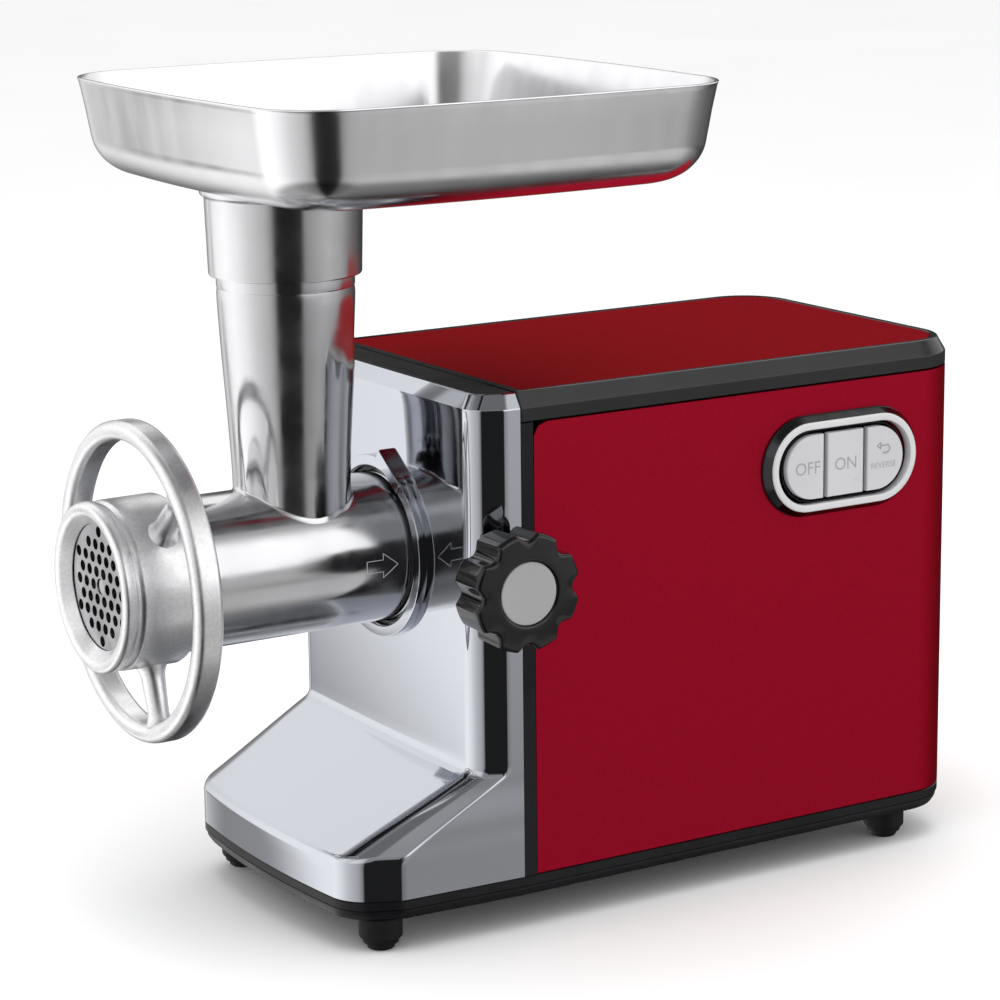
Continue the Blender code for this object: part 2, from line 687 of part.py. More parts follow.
def buttons():
    """Three keys cut from one stadium, each with a stem that reaches its switch."""
    back_x = BUTTON_FACE_X - BUTTON_THICKNESS
    for name, low, high in button_spans():
        middle = PANEL_Y + (low + high) / 2
        obj = plate(f"button_{name}", [button_outline(low, high)], BUTTON_THICKNESS, "button_silver",
                    (back_x, middle, PANEL_Z), "X")
        join(obj, turned(f"join_stem_{name}", rod_profile(STEM_R, -STEM_LENGTH, 1.0), None,
                         (back_x, middle, PANEL_Z), "X", 16))
        box(f"switch_{name}", (SWITCH_X, middle - SWITCH_HALF, PANEL_Z - 4.5),
            (back_x - STEM_LENGTH - 2.4, middle + SWITCH_HALF, PANEL_Z + 4.5), "gloss_black")


def control_board():
    plate("control_board", [rounded_box(-44, 44, -22, 22, 3)], 1.6, "green_board",
          (BOARD_X, PANEL_Y, PANEL_Z), "X")


# ---------------------------------------------------------------- drive

def direction(start, end):
    return math.degrees(math.atan2(end[1] - start[1], end[0] - start[0]))


def stage_distance(stage):
    return (PINION_TEETH[stage] + WHEEL_TEETH[stage]) * MODULES[stage] / 2


def drive_axes():
    """Where the motor and the two gear clusters turn, as (x, z), from the output back to the motor."""
    def step(origin, distance, degrees):
        dx, dz = polar(distance, degrees)
        return (origin[0] + dx, origin[1] + dz)
    second = step(OUTPUT_AXIS, stage_distance(2), SECOND_ANGLE)
    first = step(second, stage_distance(1), FIRST_ANGLE)
    motor = step(first, stage_distance(0), MOTOR_ANGLE)
    return motor, first, second


def wheel_phase(teeth, wheel_at, pinion_at):
    """Half a tooth off, so a gap faces the pinion."""
    return direction(wheel_at, pinion_at) + 180 / teeth


def rotor():
    """Shaft, windings, core and commutator in one turned piece, with the first pinion on its front end."""
    motor, first, _ = drive_axes()
    end = PINION_OVERLAP - MOTOR_PINION_BACK
    body = [(0, end), (MOTOR_SHAFT_R, end), (MOTOR_SHAFT_R, -100), (17, -100), (19, -104), (ARMATURE_R, -104),
            (ARMATURE_R, -158), (19, -158), (17, -166), (6, -166), (6, -170), (COMMUTATOR_R, -170),
            (COMMUTATOR_R, -184), (MOTOR_SHAFT_R, -184), (MOTOR_SHAFT_R, -214), (0, -214)]
    obj = turned("rotor", body, "copper", (motor[0], 0, motor[1]), "-Y", 16)
    pinion = gear(PINION_TEETH[0], MODULES[0], direction(motor, first))
    join(obj, plate("join_motor_pinion", [pinion], MOTOR_PINION_BACK - MOTOR_PINION_FRONT, None,
                    (motor[0], MOTOR_PINION_BACK, motor[1]), "-Y"))
    return smooth(obj)


def fan():
    """Swept blades round a hub, cut from one outline."""
    motor, _, _ = drive_axes()
    step = 360 / FAN_BLADES
    shape = ((13, -0.42), (33, -0.05), (34, 0.12), (33.5, 0.2), (15, -0.05), (13, 0.1))
    outline = [polar(radius, (blade + share) * step)
               for blade in range(FAN_BLADES) for radius, share in shape]
    return plate("fan", [outline, circle(MOTOR_SHAFT_R + GAP, 16)], 8.0, "white_plastic",
                 (motor[0], 211.0, motor[1]), "-Y")


def stator():
    """A round stack of laminations with four flats."""
    motor, _, _ = drive_axes()
    outline = [polar(STATOR_R if abs((k % 12) - 5.5) < 5 else STATOR_R - 3, 7.5 * k) for k in range(48)]
    plate("stator", [outline, circle(ARMATURE_R + 0.7, 28)], 52.0, "steel", (motor[0], 157.0, motor[1]), "-Y")


def motor_brackets():
    """Cast end brackets that stand on the base and hold the motor bearings."""
    motor, _, _ = drive_axes()
    floor = FLOOR_Z + GAP - motor[1]
    points = [(46, floor), (46, 8), (22, 40), (-22, 40), (-46, 8), (-46, floor)]
    outline = rounded(points, [2, 12, 12, 12, 12, 2])
    hole = circle(MOTOR_BEARING_R + GAP, 20)
    bearing = tube_profile(MOTOR_SHAFT_R + GAP, MOTOR_BEARING_R, 0, BRACKET_THICKNESS)
    for end, y in zip(("front", "rear"), MOTOR_BRACKETS_Y):
        centre = (motor[0], y + BRACKET_THICKNESS, motor[1])
        plate(f"motor_bracket_{end}", [outline, hole], BRACKET_THICKNESS, "cast_grey", centre, "-Y")
        smooth(turned(f"motor_bearing_{end}", bearing, "brass", centre, "-Y", 14))


def brushes():
    motor, _, _ = drive_axes()
    for side, sign in (("left", -1), ("right", 1)):
        ends = sorted((motor[0] + sign * (COMMUTATOR_R + 0.5), motor[0] + sign * 30))
        box(f"brush_{side}", (ends[0], 173, motor[1] - 3), (ends[1], 181, motor[1] + 3), "carbon")


def cluster(name, pin_name, at, stage, turns, wheel_y, pinion_span):
    """A moulded double gear on a fixed steel pin: the wheel of one stage and the pinion of the next."""
    wheel_turn, pinion_turn = turns
    bore = circle(GEAR_PIN_R + GAP, 12)
    obj = plate(name, [gear(WHEEL_TEETH[stage], MODULES[stage], wheel_turn), bore], 9.0, "white_plastic",
                (at[0], wheel_y, at[1]), "-Y")
    front, back = pinion_span
    pinion = gear(PINION_TEETH[stage + 1], MODULES[stage + 1], pinion_turn)
    join(obj, plate(f"join_{name}_pinion", [pinion, bore], back - front, None, (at[0], back, at[1]), "-Y"))
    pin = rod_profile(GEAR_PIN_R, GAP - GEARBOX_COVER_Y, -GEARBOX_FRONT - GEARBOX_WALL - GAP)
    turned(pin_name, pin, "steel", (at[0], 0, at[1]), "-Y", 12)


def gears():
    motor, first, second = drive_axes()
    cluster("gear_first", "gear_pin_first", first, 0,
            (wheel_phase(WHEEL_TEETH[0], first, motor), direction(first, second)), 78.0, (54.0, 69.5))
    cluster("gear_second", "gear_pin_second", second, 1,
            (wheel_phase(WHEEL_TEETH[1], second, first), direction(second, OUTPUT_AXIS)), 63.0, (34.0, 54.5))
    turn = wheel_phase(WHEEL_TEETH[2], OUTPUT_AXIS, second)
    wheel = gear(WHEEL_TEETH[2], MODULES[2], turn)
    plate("gear_output", [wheel, circle(OUTPUT_SHAFT_R + GAP, 20)], 12.0, "steel", (0, 48.0, HEAD_Z), "-Y")


def drive_coupling():
    """The output shaft, with a hexagonal socket in front for the worm's tail."""
    cup_r, cup_back, end = OUTPUT_BEARING_R - 1, -9.0, -66.0
    profile = [(0, 11.0), (cup_r, 11.0), (cup_r, cup_back), (OUTPUT_SHAFT_R, cup_back), (OUTPUT_SHAFT_R, end),
               (0, end)]
    obj = turned("drive_coupling", profile, "steel", HEAD_AXIS, "-Y", 28)
    cut(obj, plate("cut_coupling_hex", [circle(HEX_R + RUN, 6)], 30.0, None, (0, 6.0, HEAD_Z), "-Y"))
    smooth(obj)
    bearing = tube_profile(OUTPUT_SHAFT_R + GAP, OUTPUT_BEARING_R, -25.0, -15.0)
    smooth(turned("output_bearing", bearing, "brass", HEAD_AXIS, "-Y", 16))


def gearbox_screw_places():
    return [(x, z) for z in (GEARBOX_Z[0] + GEARBOX_SCREW_INSET, GEARBOX_Z[1] - GEARBOX_SCREW_INSET)
            for x in (GEARBOX_X[0] + GEARBOX_SCREW_INSET, GEARBOX_X[1] - GEARBOX_SCREW_INSET)]


def gearbox():
    """A cast box in two pieces round the gears: the housing, open behind, and its cover."""
    motor, first, second = drive_axes()
    outline = rounded_box(*GEARBOX_X, *GEARBOX_Z, GEARBOX_CORNER)
    (x0, x1), (z0, z1), wall = GEARBOX_X, GEARBOX_Z, GEARBOX_WALL
    inside = rounded_box(x0 + wall, x1 - wall, z0 + wall, z1 - wall, GEARBOX_CORNER - wall)
    depth = GEARBOX_COVER_Y - GEARBOX_FRONT
    obj = plate("gearbox_housing", [outline], depth, "cast_grey", (0, GEARBOX_COVER_Y, 0), "-Y")
    cut(obj, plate("cut_gearbox", [inside], depth, None, (0, GEARBOX_COVER_Y + 10.0, 0), "-Y"))
    bearing_hole = rod_profile(OUTPUT_BEARING_R + GAP, -60, 0)
    cut(obj, turned("cut_gearbox_bearing", bearing_hole, None, HEAD_AXIS, "-Y"))
    for name, at in (("first", first), ("second", second)):
        cut(obj, turned(f"cut_gearbox_pin_{name}", rod_profile(GEAR_PIN_R + GAP, -30, -10), None,
                        (at[0], 0, at[1]), "-Y", 12))
    holes = [circle(MOTOR_SHAFT_HOLE_R, 16, motor)]
    head = -(GEARBOX_COVER_Y + 2 * GAP + GEARBOX_WALL)
    profile = [(0, head + 16), (GEARBOX_SCREW_R, head + 16), (GEARBOX_SCREW_R, head), (3.6, head),
               (3.6, head - 2.4), (0, head - 2.4)]
    for i, (x, z) in enumerate(gearbox_screw_places()):
        holes.append(circle(GEARBOX_SCREW_R + GAP, 10, (x, z)))
        cut(obj, turned(f"cut_gearbox_screw_{i + 1}", rod_profile(GEARBOX_SCREW_R + GAP, -90, -60), None,
                        (x, 0, z), "-Y", 10))
        smooth(turned(f"gearbox_screw_{i + 1}", profile, "steel", (x, 0, z), "-Y", 10))
    plate("gearbox_cover", [outline, *holes], GEARBOX_WALL, "cast_grey",
          (0, GEARBOX_COVER_Y + GAP + GEARBOX_WALL, 0), "-Y")


# ---------------------------------------------------------------- grinding head

def head_casting():
    """Barrel and feed neck in one casting."""
    obj = turned("head_casting", rod_profile(BARREL_R, -BARREL_REAR, -BARREL_FRONT), "polished_aluminium",
                 HEAD_AXIS, "-Y", 30)
    centre = (0, NECK_Y, HEAD_Z)
    neck = [(0, NECK_TOP_Z), (NECK_R, NECK_TOP_Z), (NECK_R, SLEEVE_BOTTOM_Z - 4),
            (NECK_ROOT_R + 0.6, NECK_FOOT_Z + 10), (NECK_ROOT_R + 3.2, NECK_FOOT_Z),
            (NECK_ROOT_R + 3.2, NECK_FOOT_Z - 12), (0, NECK_FOOT_Z - 12)]
    join(obj, turned("join_neck", [(radius, z - HEAD_Z) for radius, z in neck], None, centre, "Z", 26))
    bore = [(0, NECK_TOP_Z + 5), (NECK_BORE, NECK_TOP_Z + 5), (NECK_BORE, SLEEVE_BOTTOM_Z),
            (NECK_ROOT_BORE, NECK_FOOT_Z + 4), (NECK_ROOT_BORE, HEAD_Z), (0, HEAD_Z)]
    cut(obj, turned("cut_neck", [(radius, z - HEAD_Z) for radius, z in bore], None, centre, "Z", 24))
    inside = [(0, 170), (PLATE_R + 0.5, 170), (PLATE_R + 0.5, 159), (BARREL_BORE, 159), (BARREL_BORE, 26),
              (14, 26), (14, 12), (20, 12), (20, -5), (0, -5)]
    cut(obj, turned("cut_barrel_bore", inside, None, HEAD_AXIS, "-Y", 30))
    return smooth(obj)


def worm_radius(angle, y):
    """The flight is a rounded ridge that winds along the core."""
    turn = (y / WORM_PITCH + angle / 360.0) % 1.0
    ridge = max(0.0, math.cos((turn - 0.5) * math.tau)) ** 1.5
    return WORM_CORE_R + (WORM_R - WORM_CORE_R) * ridge


def worm():
    """A screw of constant pitch with a round journal and hexagonal tail behind and a square nose in front."""
    rows, around = 30, 14
    sections = []
    for i in range(rows + 1):
        y = WORM_FRONT + (WORM_BACK - WORM_FRONT) * i / rows
        fade = min(1.0, i / 2.0, (rows - i) / 2.0)
        section = []
        for k in range(around):
            angle = 360 * k / around
            radius = WORM_CORE_R + (worm_radius(angle, y) - WORM_CORE_R) * fade
            x, z = polar(radius, angle)
            section.append((x, z, -y))
        sections.append(section)
    obj = add_object("worm", loft_mesh("worm", sections), "polished_aluminium", HEAD_AXIS, "-Y")
    journal = [(0, -WORM_BACK + 1.0), (JOURNAL_R, -WORM_BACK + 1.0), (JOURNAL_R, 11.5), (0, 11.5)]
    join(obj, turned("join_worm_journal", journal, None, HEAD_AXIS, "-Y", 24))
    join(obj, plate("join_worm_tail", [circle(HEX_R, 6)], 17.0, None, (0, 4.5, HEAD_Z), "-Y"))
    nose = rounded_box(-SQUARE_HALF, SQUARE_HALF, -SQUARE_HALF, SQUARE_HALF, 0.8, 2)
    join(obj, plate("join_worm_nose", [nose], 11.6, None, (0, WORM_FRONT + 3.0, HEAD_Z), "-Y"))
    stud = rod_profile(STUD_R, -PLATE_BACK - 1.5, -PLATE_FRONT - 0.6)
    join(obj, turned("join_worm_stud", stud, None, HEAD_AXIS, "-Y", 16))
    return smooth(obj)


def worm_bush():
    bush = tube_profile(JOURNAL_R + GAP, 13.7, 12.3, 25.7)
    smooth(turned("worm_bush", bush, "brass", HEAD_AXIS, "-Y", 16))


def blade():
    """A four-armed knife with a square eye. Each arm is swept back behind its cutting edge."""
    arm = ((8.5, -30), (27.5, -4), (28.0, 6), (24.0, 12), (11.0, 22))
    outline = [polar(radius, 90 * i + angle) for i in range(4) for radius, angle in arm]
    half = SQUARE_HALF + GAP
    eye = rounded_box(-half, half, -half, half, 0.8, 2)
    plate("blade", [outline, eye], 8.0, "steel", (0, WORM_FRONT - 0.6, HEAD_Z), "-Y")


def plate_holes():
    """The centres of a hexagonal pattern of holes that clears the centre hole and the rim."""
    rows = int(PLATE_R // (PLATE_PITCH * math.sqrt(3) / 2))
    for row in range(-rows, rows + 1):
        for column in range(-rows - 3, rows + 4):
            x = (column + (row % 2) / 2) * PLATE_PITCH
            y = row * PLATE_PITCH * math.sqrt(3) / 2
            if 7.0 < math.hypot(x, y) < PLATE_R - 5.2:
                yield x, y


def mincing_plate():
    edge = circle(PLATE_R, 30)
    notch = [polar(PLATE_R, 84), polar(PLATE_R - 3.6, 85.5), polar(PLATE_R - 3.6, 94.5), polar(PLATE_R, 96)]
    start = [point for point in edge if abs(math.degrees(math.atan2(point[1], point[0])) - 90) > 6.5]
    first = next(i for i, point in enumerate(start) if math.degrees(math.atan2(point[1], point[0])) > 90)
    outline = start[:first] + notch + start[first:]
    holes = [circle(PLATE_HOLE_R, 6, centre, 30) for centre in plate_holes()]
    plate("mincing_plate", [outline, circle(STUD_R + GAP, 16), *holes], PLATE_BACK - PLATE_FRONT, "steel",
          (0, PLATE_BACK, HEAD_Z), "-Y")


def key_pin():
    """A pin in the barrel's mouth that stops the plate turning."""
    pin = rod_profile(KEY_PIN_R, -PLATE_BACK - 0.4, -PLATE_BACK + 3.3)
    turned("key_pin", pin, "steel", (0, 0, HEAD_Z + PLATE_R - 1.7), "-Y", 10)


def ring_nut():
    """The nut that holds the plate, with a handwheel on three spokes."""
    profile = [(33.0, -NUT_FRONT), (NUT_R - 1.3, -NUT_FRONT), (NUT_R, -NUT_FRONT - 1.3), (NUT_R, -NUT_REAR),
               (NUT_BORE, -NUT_REAR), (NUT_BORE, -PLATE_FRONT + 0.4), (MOUTH_R, -PLATE_FRONT + 0.4),
               (MOUTH_R, -PLATE_FRONT + 2.4)]
    obj = turned("ring_nut", profile, "satin_aluminium", HEAD_AXIS, "-Y", 30)
    inner, front, rear = WHEEL_INNER_R, -WHEEL_FRONT, -WHEEL_REAR
    wheel = [(inner + 3.2, front), (WHEEL_R - 3.2, front), (WHEEL_R, front - 3.2), (WHEEL_R, rear + 2.5),
             (WHEEL_R - 2.5, rear), (inner + 2.0, rear), (inner, rear + 2.0), (inner, front - 3.2)]
    join(obj, turned("join_wheel", wheel, None, HEAD_AXIS, "-Y", 30))
    middle = -(WHEEL_FRONT + WHEEL_REAR) / 2
    for angle in SPOKE_ANGLES:
        spoke = spoke_mesh(angle, middle)
        join(obj, add_object(f"join_spoke_{angle:.0f}", spoke, None, HEAD_AXIS, "-Y"))
    return smooth(obj)


def spoke_mesh(angle, height):
    """A cone along one radius of the handwheel, thicker at the nut."""
    start = NUT_R - 2.0
    length = WHEEL_INNER_R + 3.0 - start
    turn = Matrix.Rotation(math.radians(angle), 4, "Z") @ Matrix.Rotation(math.radians(90), 4, "Y")
    place = Matrix.Translation(Vector((*polar(start + length / 2, angle), height)) * MM)
    work = bmesh.new()
    bmesh.ops.create_cone(work, cap_ends=True, segments=8, radius1=SPOKE_ROOT_R * MM,
                          radius2=SPOKE_TIP_R * MM, depth=length * MM, matrix=place @ turn)
    mesh = bpy.data.meshes.new("spoke")
    work.to_mesh(mesh)
    work.free()
    return mesh


def tray_outline(inset):
    """A rounded rectangle whose straight sides bow outwards a little."""
    half_x, half_y = TRAY_HALF_X - inset, TRAY_HALF_Y - inset
    corner = TRAY_CORNER - inset * TRAY_CORNER_SHARE
    arcs = rounded_box(-half_x, half_x, -half_y, half_y, corner, 5)
    per_corner = len(arcs) // 4
    outline = []
    for i, point in enumerate(arcs):
        outline.append(Vector(point))
        if i % per_corner == per_corner - 1:
            outline += bowed_side(Vector(point), Vector(arcs[(i + 1) % len(arcs)]))
    return [(x, y + TRAY_Y) for x, y in outline]


def bowed_side(start, end):
    """The points between the ends of a straight side, pushed away from the middle of the tray."""
    outwards = ((start + end) / 2).normalized()
    shares = (0.25, 0.5, 0.75)
    return [start.lerp(end, share) + outwards * TRAY_BOW * (1 - (2 * share - 1) ** 2) for share in shares]


def tray():
    """A thin pan with flared walls and a round spout that sits over the neck."""
    depth = TRAY_RIM_Z - TRAY_FLOOR_Z
    levels = ((TRAY_FLARE + 12.0, 0.0), (TRAY_FLARE + 4.0, 1.6), (TRAY_FLARE, 8.0), (0.8, depth - 1.0),
              (0.0, depth))
    sections = [at_height(tray_outline(inset), TRAY_FLOOR_Z + height) for inset, height in levels]
    inside = [at_height(tray_outline(inset + TRAY_WALL), TRAY_FLOOR_Z + max(height, TRAY_WALL) + lift)
              for (inset, height), lift in zip(levels[:-1], (0.0, 0.8, 0.0, 0.0))]
    inside.append(at_height(tray_outline(TRAY_WALL), TRAY_RIM_Z))
    obj = add_object("tray", loft_mesh("tray", sections + inside[::-1]), "polished_aluminium")
    bore = NECK_R + RUN
    sleeve = [(bore + 1.4, TRAY_FLOOR_Z + 1.0), (SLEEVE_FLANGE_R, TRAY_FLOOR_Z + 1.0),
              (SLEEVE_FLANGE_R, TRAY_FLOOR_Z - 2.4), (SLEEVE_FLANGE_R - 1.9, TRAY_FLOOR_Z - 4.0),
              (bore + 2.8, SLEEVE_BOTTOM_Z), (bore, SLEEVE_BOTTOM_Z), (bore, NECK_TOP_Z + 2.0)]
    join(obj, turned("join_tray_sleeve", sleeve, None, (0, NECK_Y, 0), "Z", 28))
    hole = rod_profile(bore, TRAY_FLOOR_Z - 8, TRAY_FLOOR_Z + 10)
    cut(obj, turned("cut_tray_hole", hole, None, (0, NECK_Y, 0), "Z", 28))
    return smooth(obj)


# ---------------------------------------------------------------- lock knob

def knob_outline(share):
    """Wide lobes with a narrow scallop between each two, at a share of the full size."""
    steps = 8 * KNOB_LOBES
    outline = []
    for k in range(steps):
        angle = 360 * k / steps
        scallop = ((1 + math.cos(math.radians(KNOB_LOBES * angle))) / 2) ** 2
        outline.append(polar(share * (KNOB_R - KNOB_SCALLOP * scallop), angle))
    return outline


def lock_knob():
    levels = ((0.90, KNOB_BACK_X), (1.0, KNOB_BACK_X + 2.0), (1.0, KNOB_FACE_X - 4.0),
              (0.90, KNOB_FACE_X - 1.0), (0.66, KNOB_FACE_X))
    sections = [at_height(knob_outline(share), x) for share, x in levels]
    obj = add_object("lock_knob", loft_mesh("lock_knob", sections), "gloss_black", KNOB_AXIS, "X")
    join(obj, turned("join_knob_hub", rod_profile(KNOB_HUB_R, HALF_WIDTH + 1.5, KNOB_BACK_X + 1), None,
                     KNOB_AXIS, "X"))
    recess = rod_profile(CAP_R + GAP, KNOB_FACE_X - KNOB_RECESS, KNOB_FACE_X + 5)
    cut(obj, turned("cut_knob_cap", recess, None, KNOB_AXIS, "X", 32))
    cut(obj, turned("cut_knob_screw", rod_profile(SCREW_R + GAP, 60, KNOB_FACE_X - 10), None,
                    KNOB_AXIS, "X", 16))
    return smooth(obj)


def knob_cap():
    profile = rod_profile(CAP_R, KNOB_FACE_X - KNOB_RECESS + GAP, KNOB_FACE_X - 0.5, 0.4)
    smooth(turned("knob_cap", profile, "cap_grey", KNOB_AXIS, "X", 32))


def clamp_screw():
    """Held in the knob, with a point that bears on the barrel."""
    end, tip = KNOB_FACE_X - 10.3, BARREL_R + 0.6
    profile = [(0, end), (SCREW_R, end), (SCREW_R, tip + 2.0), (SCREW_R - 1.4, tip), (0, tip)]
    smooth(turned("clamp_screw", profile, "steel", KNOB_AXIS, "X", 16))


clear_scene()
PARTS = new_collection("meat_grinder")
CUTTERS = new_collection("cutters")
MACHINE = bpy.data.objects.new("machine", None)
PARTS.objects.link(MACHINE)
MACHINE.location = (0, -(NUT_FRONT + REAR_Y + INLET_PROUD) / 2 * MM, 0)

base_piece()
base_screws()
feet()
front_casing()
front_frame()
body_shell()
top_rim()
top_panel()
top_front_strip()
socket_ring()
head_socket()
cord_inlet()
control_bezel()
control_well()
buttons()
control_board()
rotor()
fan()
stator()
motor_brackets()
brushes()
gears()
drive_coupling()
gearbox()
head_casting()
worm()
worm_bush()
blade()
mincing_plate()
key_pin()
ring_nut()
tray()
lock_knob()
knob_cap()
clamp_screw()
bpy.context.view_layer.update()
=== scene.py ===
"""The looks of the electric meat grinder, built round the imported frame.

World metres, +Z up, the mince leaves towards -Y, the keys and the lock knob are on +X. Shapes are drawn in
millimetres and scaled by MM. Places come from the frame's boxes.
"""
import math
from functools import partial

import bmesh
import bpy
from mathutils import Matrix, Vector


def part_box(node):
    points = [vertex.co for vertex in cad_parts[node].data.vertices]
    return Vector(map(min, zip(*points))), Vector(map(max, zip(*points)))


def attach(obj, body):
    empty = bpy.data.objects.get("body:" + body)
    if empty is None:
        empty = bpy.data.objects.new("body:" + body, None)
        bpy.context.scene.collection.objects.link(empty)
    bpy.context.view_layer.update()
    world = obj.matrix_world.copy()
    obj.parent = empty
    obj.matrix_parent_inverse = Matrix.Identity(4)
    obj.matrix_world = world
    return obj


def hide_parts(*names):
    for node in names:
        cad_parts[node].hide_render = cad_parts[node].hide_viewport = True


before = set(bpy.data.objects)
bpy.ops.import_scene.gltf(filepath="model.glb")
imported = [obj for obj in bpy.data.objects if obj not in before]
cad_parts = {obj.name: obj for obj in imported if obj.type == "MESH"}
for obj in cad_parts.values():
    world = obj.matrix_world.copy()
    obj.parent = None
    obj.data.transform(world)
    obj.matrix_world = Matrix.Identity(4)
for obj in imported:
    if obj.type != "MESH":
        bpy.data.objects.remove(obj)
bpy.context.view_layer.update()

MM = 0.001
SHARP = math.radians(32)


# -------- places, from the frame, in millimetres

def span(node):
    """The lowest and highest corner of a CAD node in millimetres."""
    low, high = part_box(node)
    return low / MM, high / MM


CASING_LOW, CASING_HIGH = span("front_casing")
SHELL_LOW, SHELL_HIGH = span("body_shell")
RIM_LOW, RIM_HIGH = span("top_rim")
PANEL_LOW, PANEL_HIGH = span("top_panel")
BASE_LOW, BASE_HIGH = span("base")
HEAD_LOW, HEAD_HIGH = span("head_casting")
NUT_LOW, NUT_HIGH = span("ring_nut")
PLATE_LOW, PLATE_HIGH = span("mincing_plate")
TRAY_LOW, TRAY_HIGH = span("tray")
KNOB_LOW, KNOB_HIGH = span("lock_knob")
CAP_LOW, CAP_HIGH = span("knob_cap")
BEZEL_LOW, BEZEL_HIGH = span("control_bezel")
RING_HIGH = span("socket_ring")[1]

HALF_WIDTH = SHELL_HIGH.x
SEAM_Y = CASING_HIGH.y  # where the casing meets the dark frame
REAR_Y = SHELL_HIGH.y
BARREL_R = HEAD_HIGH.x
AXIS_Z = HEAD_LOW.z + BARREL_R  # the axis of the barrel, nut and worm
BARREL_FRONT = HEAD_LOW.y
BARREL_REAR = HEAD_HIGH.y
NECK_Y = SEAM_Y - 69.1
NECK_TOP = HEAD_HIGH.z
NUT_R = 38.5
WHEEL_R = NUT_HIGH.x
KNOB_Y = (CAP_LOW.y + CAP_HIGH.y) / 2
KNOB_Z = (CAP_LOW.z + CAP_HIGH.z) / 2
KNOB_R = (KNOB_HIGH.z - KNOB_LOW.z) / 2 + 1.2
CAP_R = (CAP_HIGH.z - CAP_LOW.z) / 2
FACE_Y = RING_HIGH.y + 0.3  # the casing's upright face
HEAD_AXIS = Vector((0.0, 0.0, AXIS_Z))
KNOB_AXIS = Vector((0.0, KNOB_Y, KNOB_Z))
PANEL_Y = (BEZEL_LOW.y + BEZEL_HIGH.y) / 2
PANEL_Z = (BEZEL_LOW.z + BEZEL_HIGH.z) / 2
PANEL_CENTRE = (HALF_WIDTH, PANEL_Y, PANEL_Z)
EDGE_Z = 243.0  # where the chamfer round the top begins
REAR_R = 30.0  # the housing's round rear corners
TOE_Y = SEAM_Y - 83.4  # the foot's front face
TOE_INSET, TOE_FACET, TOE_BOW = 3.0, 1.5, 6.5
PLATE_R = 31.0

# How local axes lie in the world: local +Z along the name's direction
AXES = {"Z": Matrix.Identity(4),
        "-Y": Matrix.Rotation(math.radians(90), 4, "X"),
        "X": Matrix.Rotation(math.radians(90), 4, "Z") @ Matrix.Rotation(math.radians(90), 4, "X")}


# -------- making objects

def settled(work, centre=(0, 0, 0), axis="Z"):
    """Takes a bmesh from local millimetres to world metres."""
    bmesh.ops.scale(work, verts=work.verts, vec=(MM, MM, MM))
    work.transform(Matrix.Translation(Vector(centre) * MM) @ AXES[axis])
    return work


def made_mesh(name, work):
    mesh = bpy.data.meshes.new(name)
    work.to_mesh(mesh)
    work.free()
    return mesh


def linked(name, data):
    """A new object in the scene."""
    obj = bpy.data.objects.new(name, data)
    bpy.context.scene.collection.objects.link(obj)
    return obj


def evaluated(obj):
    return bpy.data.meshes.new_from_object(obj.evaluated_get(bpy.context.evaluated_depsgraph_get()))


def add(name, work, look, body, slot, centre=(0, 0, 0), axis="Z", sharp=SHARP):
    """Turns a bmesh in local millimetres into a piece in world metres that rides on a body."""
    mesh = made_mesh(name, settled(work, centre, axis))
    mesh.shade_smooth()
    mesh.set_sharp_from_angle(angle=sharp)
    obj = linked(name, mesh)
    mesh.materials.append(look)
    weigh(obj)
    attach(obj, body)
    return obj


def weigh(obj):
    """Broad faces keep their own direction, and the bevels beside them take up the turn."""
    modifier = obj.modifiers.new("Weigh", "WEIGHTED_NORMAL")
    modifier.keep_sharp = True
    modifier.weight = 60


def skin(sections, ring=False, caps=True, closed=True):
    """A bmesh skinned through sections of equal count, each a list of (x, y, z) in millimetres."""
    work = bmesh.new()
    rows = [[work.verts.new(point) for point in section] for section in sections]
    count = len(rows[0])
    for i in range(len(rows) if ring else len(rows) - 1):
        low, high = rows[i], rows[(i + 1) % len(rows)]
        for k in range(count if closed else count - 1):
            after = (k + 1) % count
            work.faces.new((low[k], low[after], high[after], high[k]))
    if caps and not ring and closed:
        work.faces.new(rows[0])
        work.faces.new(rows[-1])
    bmesh.ops.recalc_face_normals(work, faces=work.faces)
    return work


def close_up(work):
    """Fills every open edge."""
    bmesh.ops.holes_fill(work, edges=[edge for edge in work.edges if edge.is_boundary], sides=0)
    bmesh.ops.recalc_face_normals(work, faces=work.faces)
    return work


def turned(profile, steps=96):
    """A bmesh turned about local Z from (radius, height) points. A point on the axis closes to a pole."""
    work = bmesh.new()
    rows = []
    for radius, height in profile:
        if radius < 1e-6:
            rows.append([work.verts.new((0, 0, height))])
        else:
            rows.append([work.verts.new((*polar(radius, 360 * k / steps), height)) for k in range(steps)])
    pairs = list(zip(rows, rows[1:]))
    if len(rows[0]) > 1:
        pairs.append((rows[-1], rows[0]))
    for low, high in pairs:
        for k in range(steps):
            after = (k + 1) % steps
            corners = [low[k % len(low)], low[after % len(low)],
                       high[after % len(high)], high[k % len(high)]]
            unique = list(dict.fromkeys(corners))
            if len(unique) > 2:
                work.faces.new(unique)
    bmesh.ops.recalc_face_normals(work, faces=work.faces)
    return work


def rod(radius, top, bottom, steps=96):
    return turned([(0, top), (radius, top), (radius, bottom), (0, bottom)], steps)


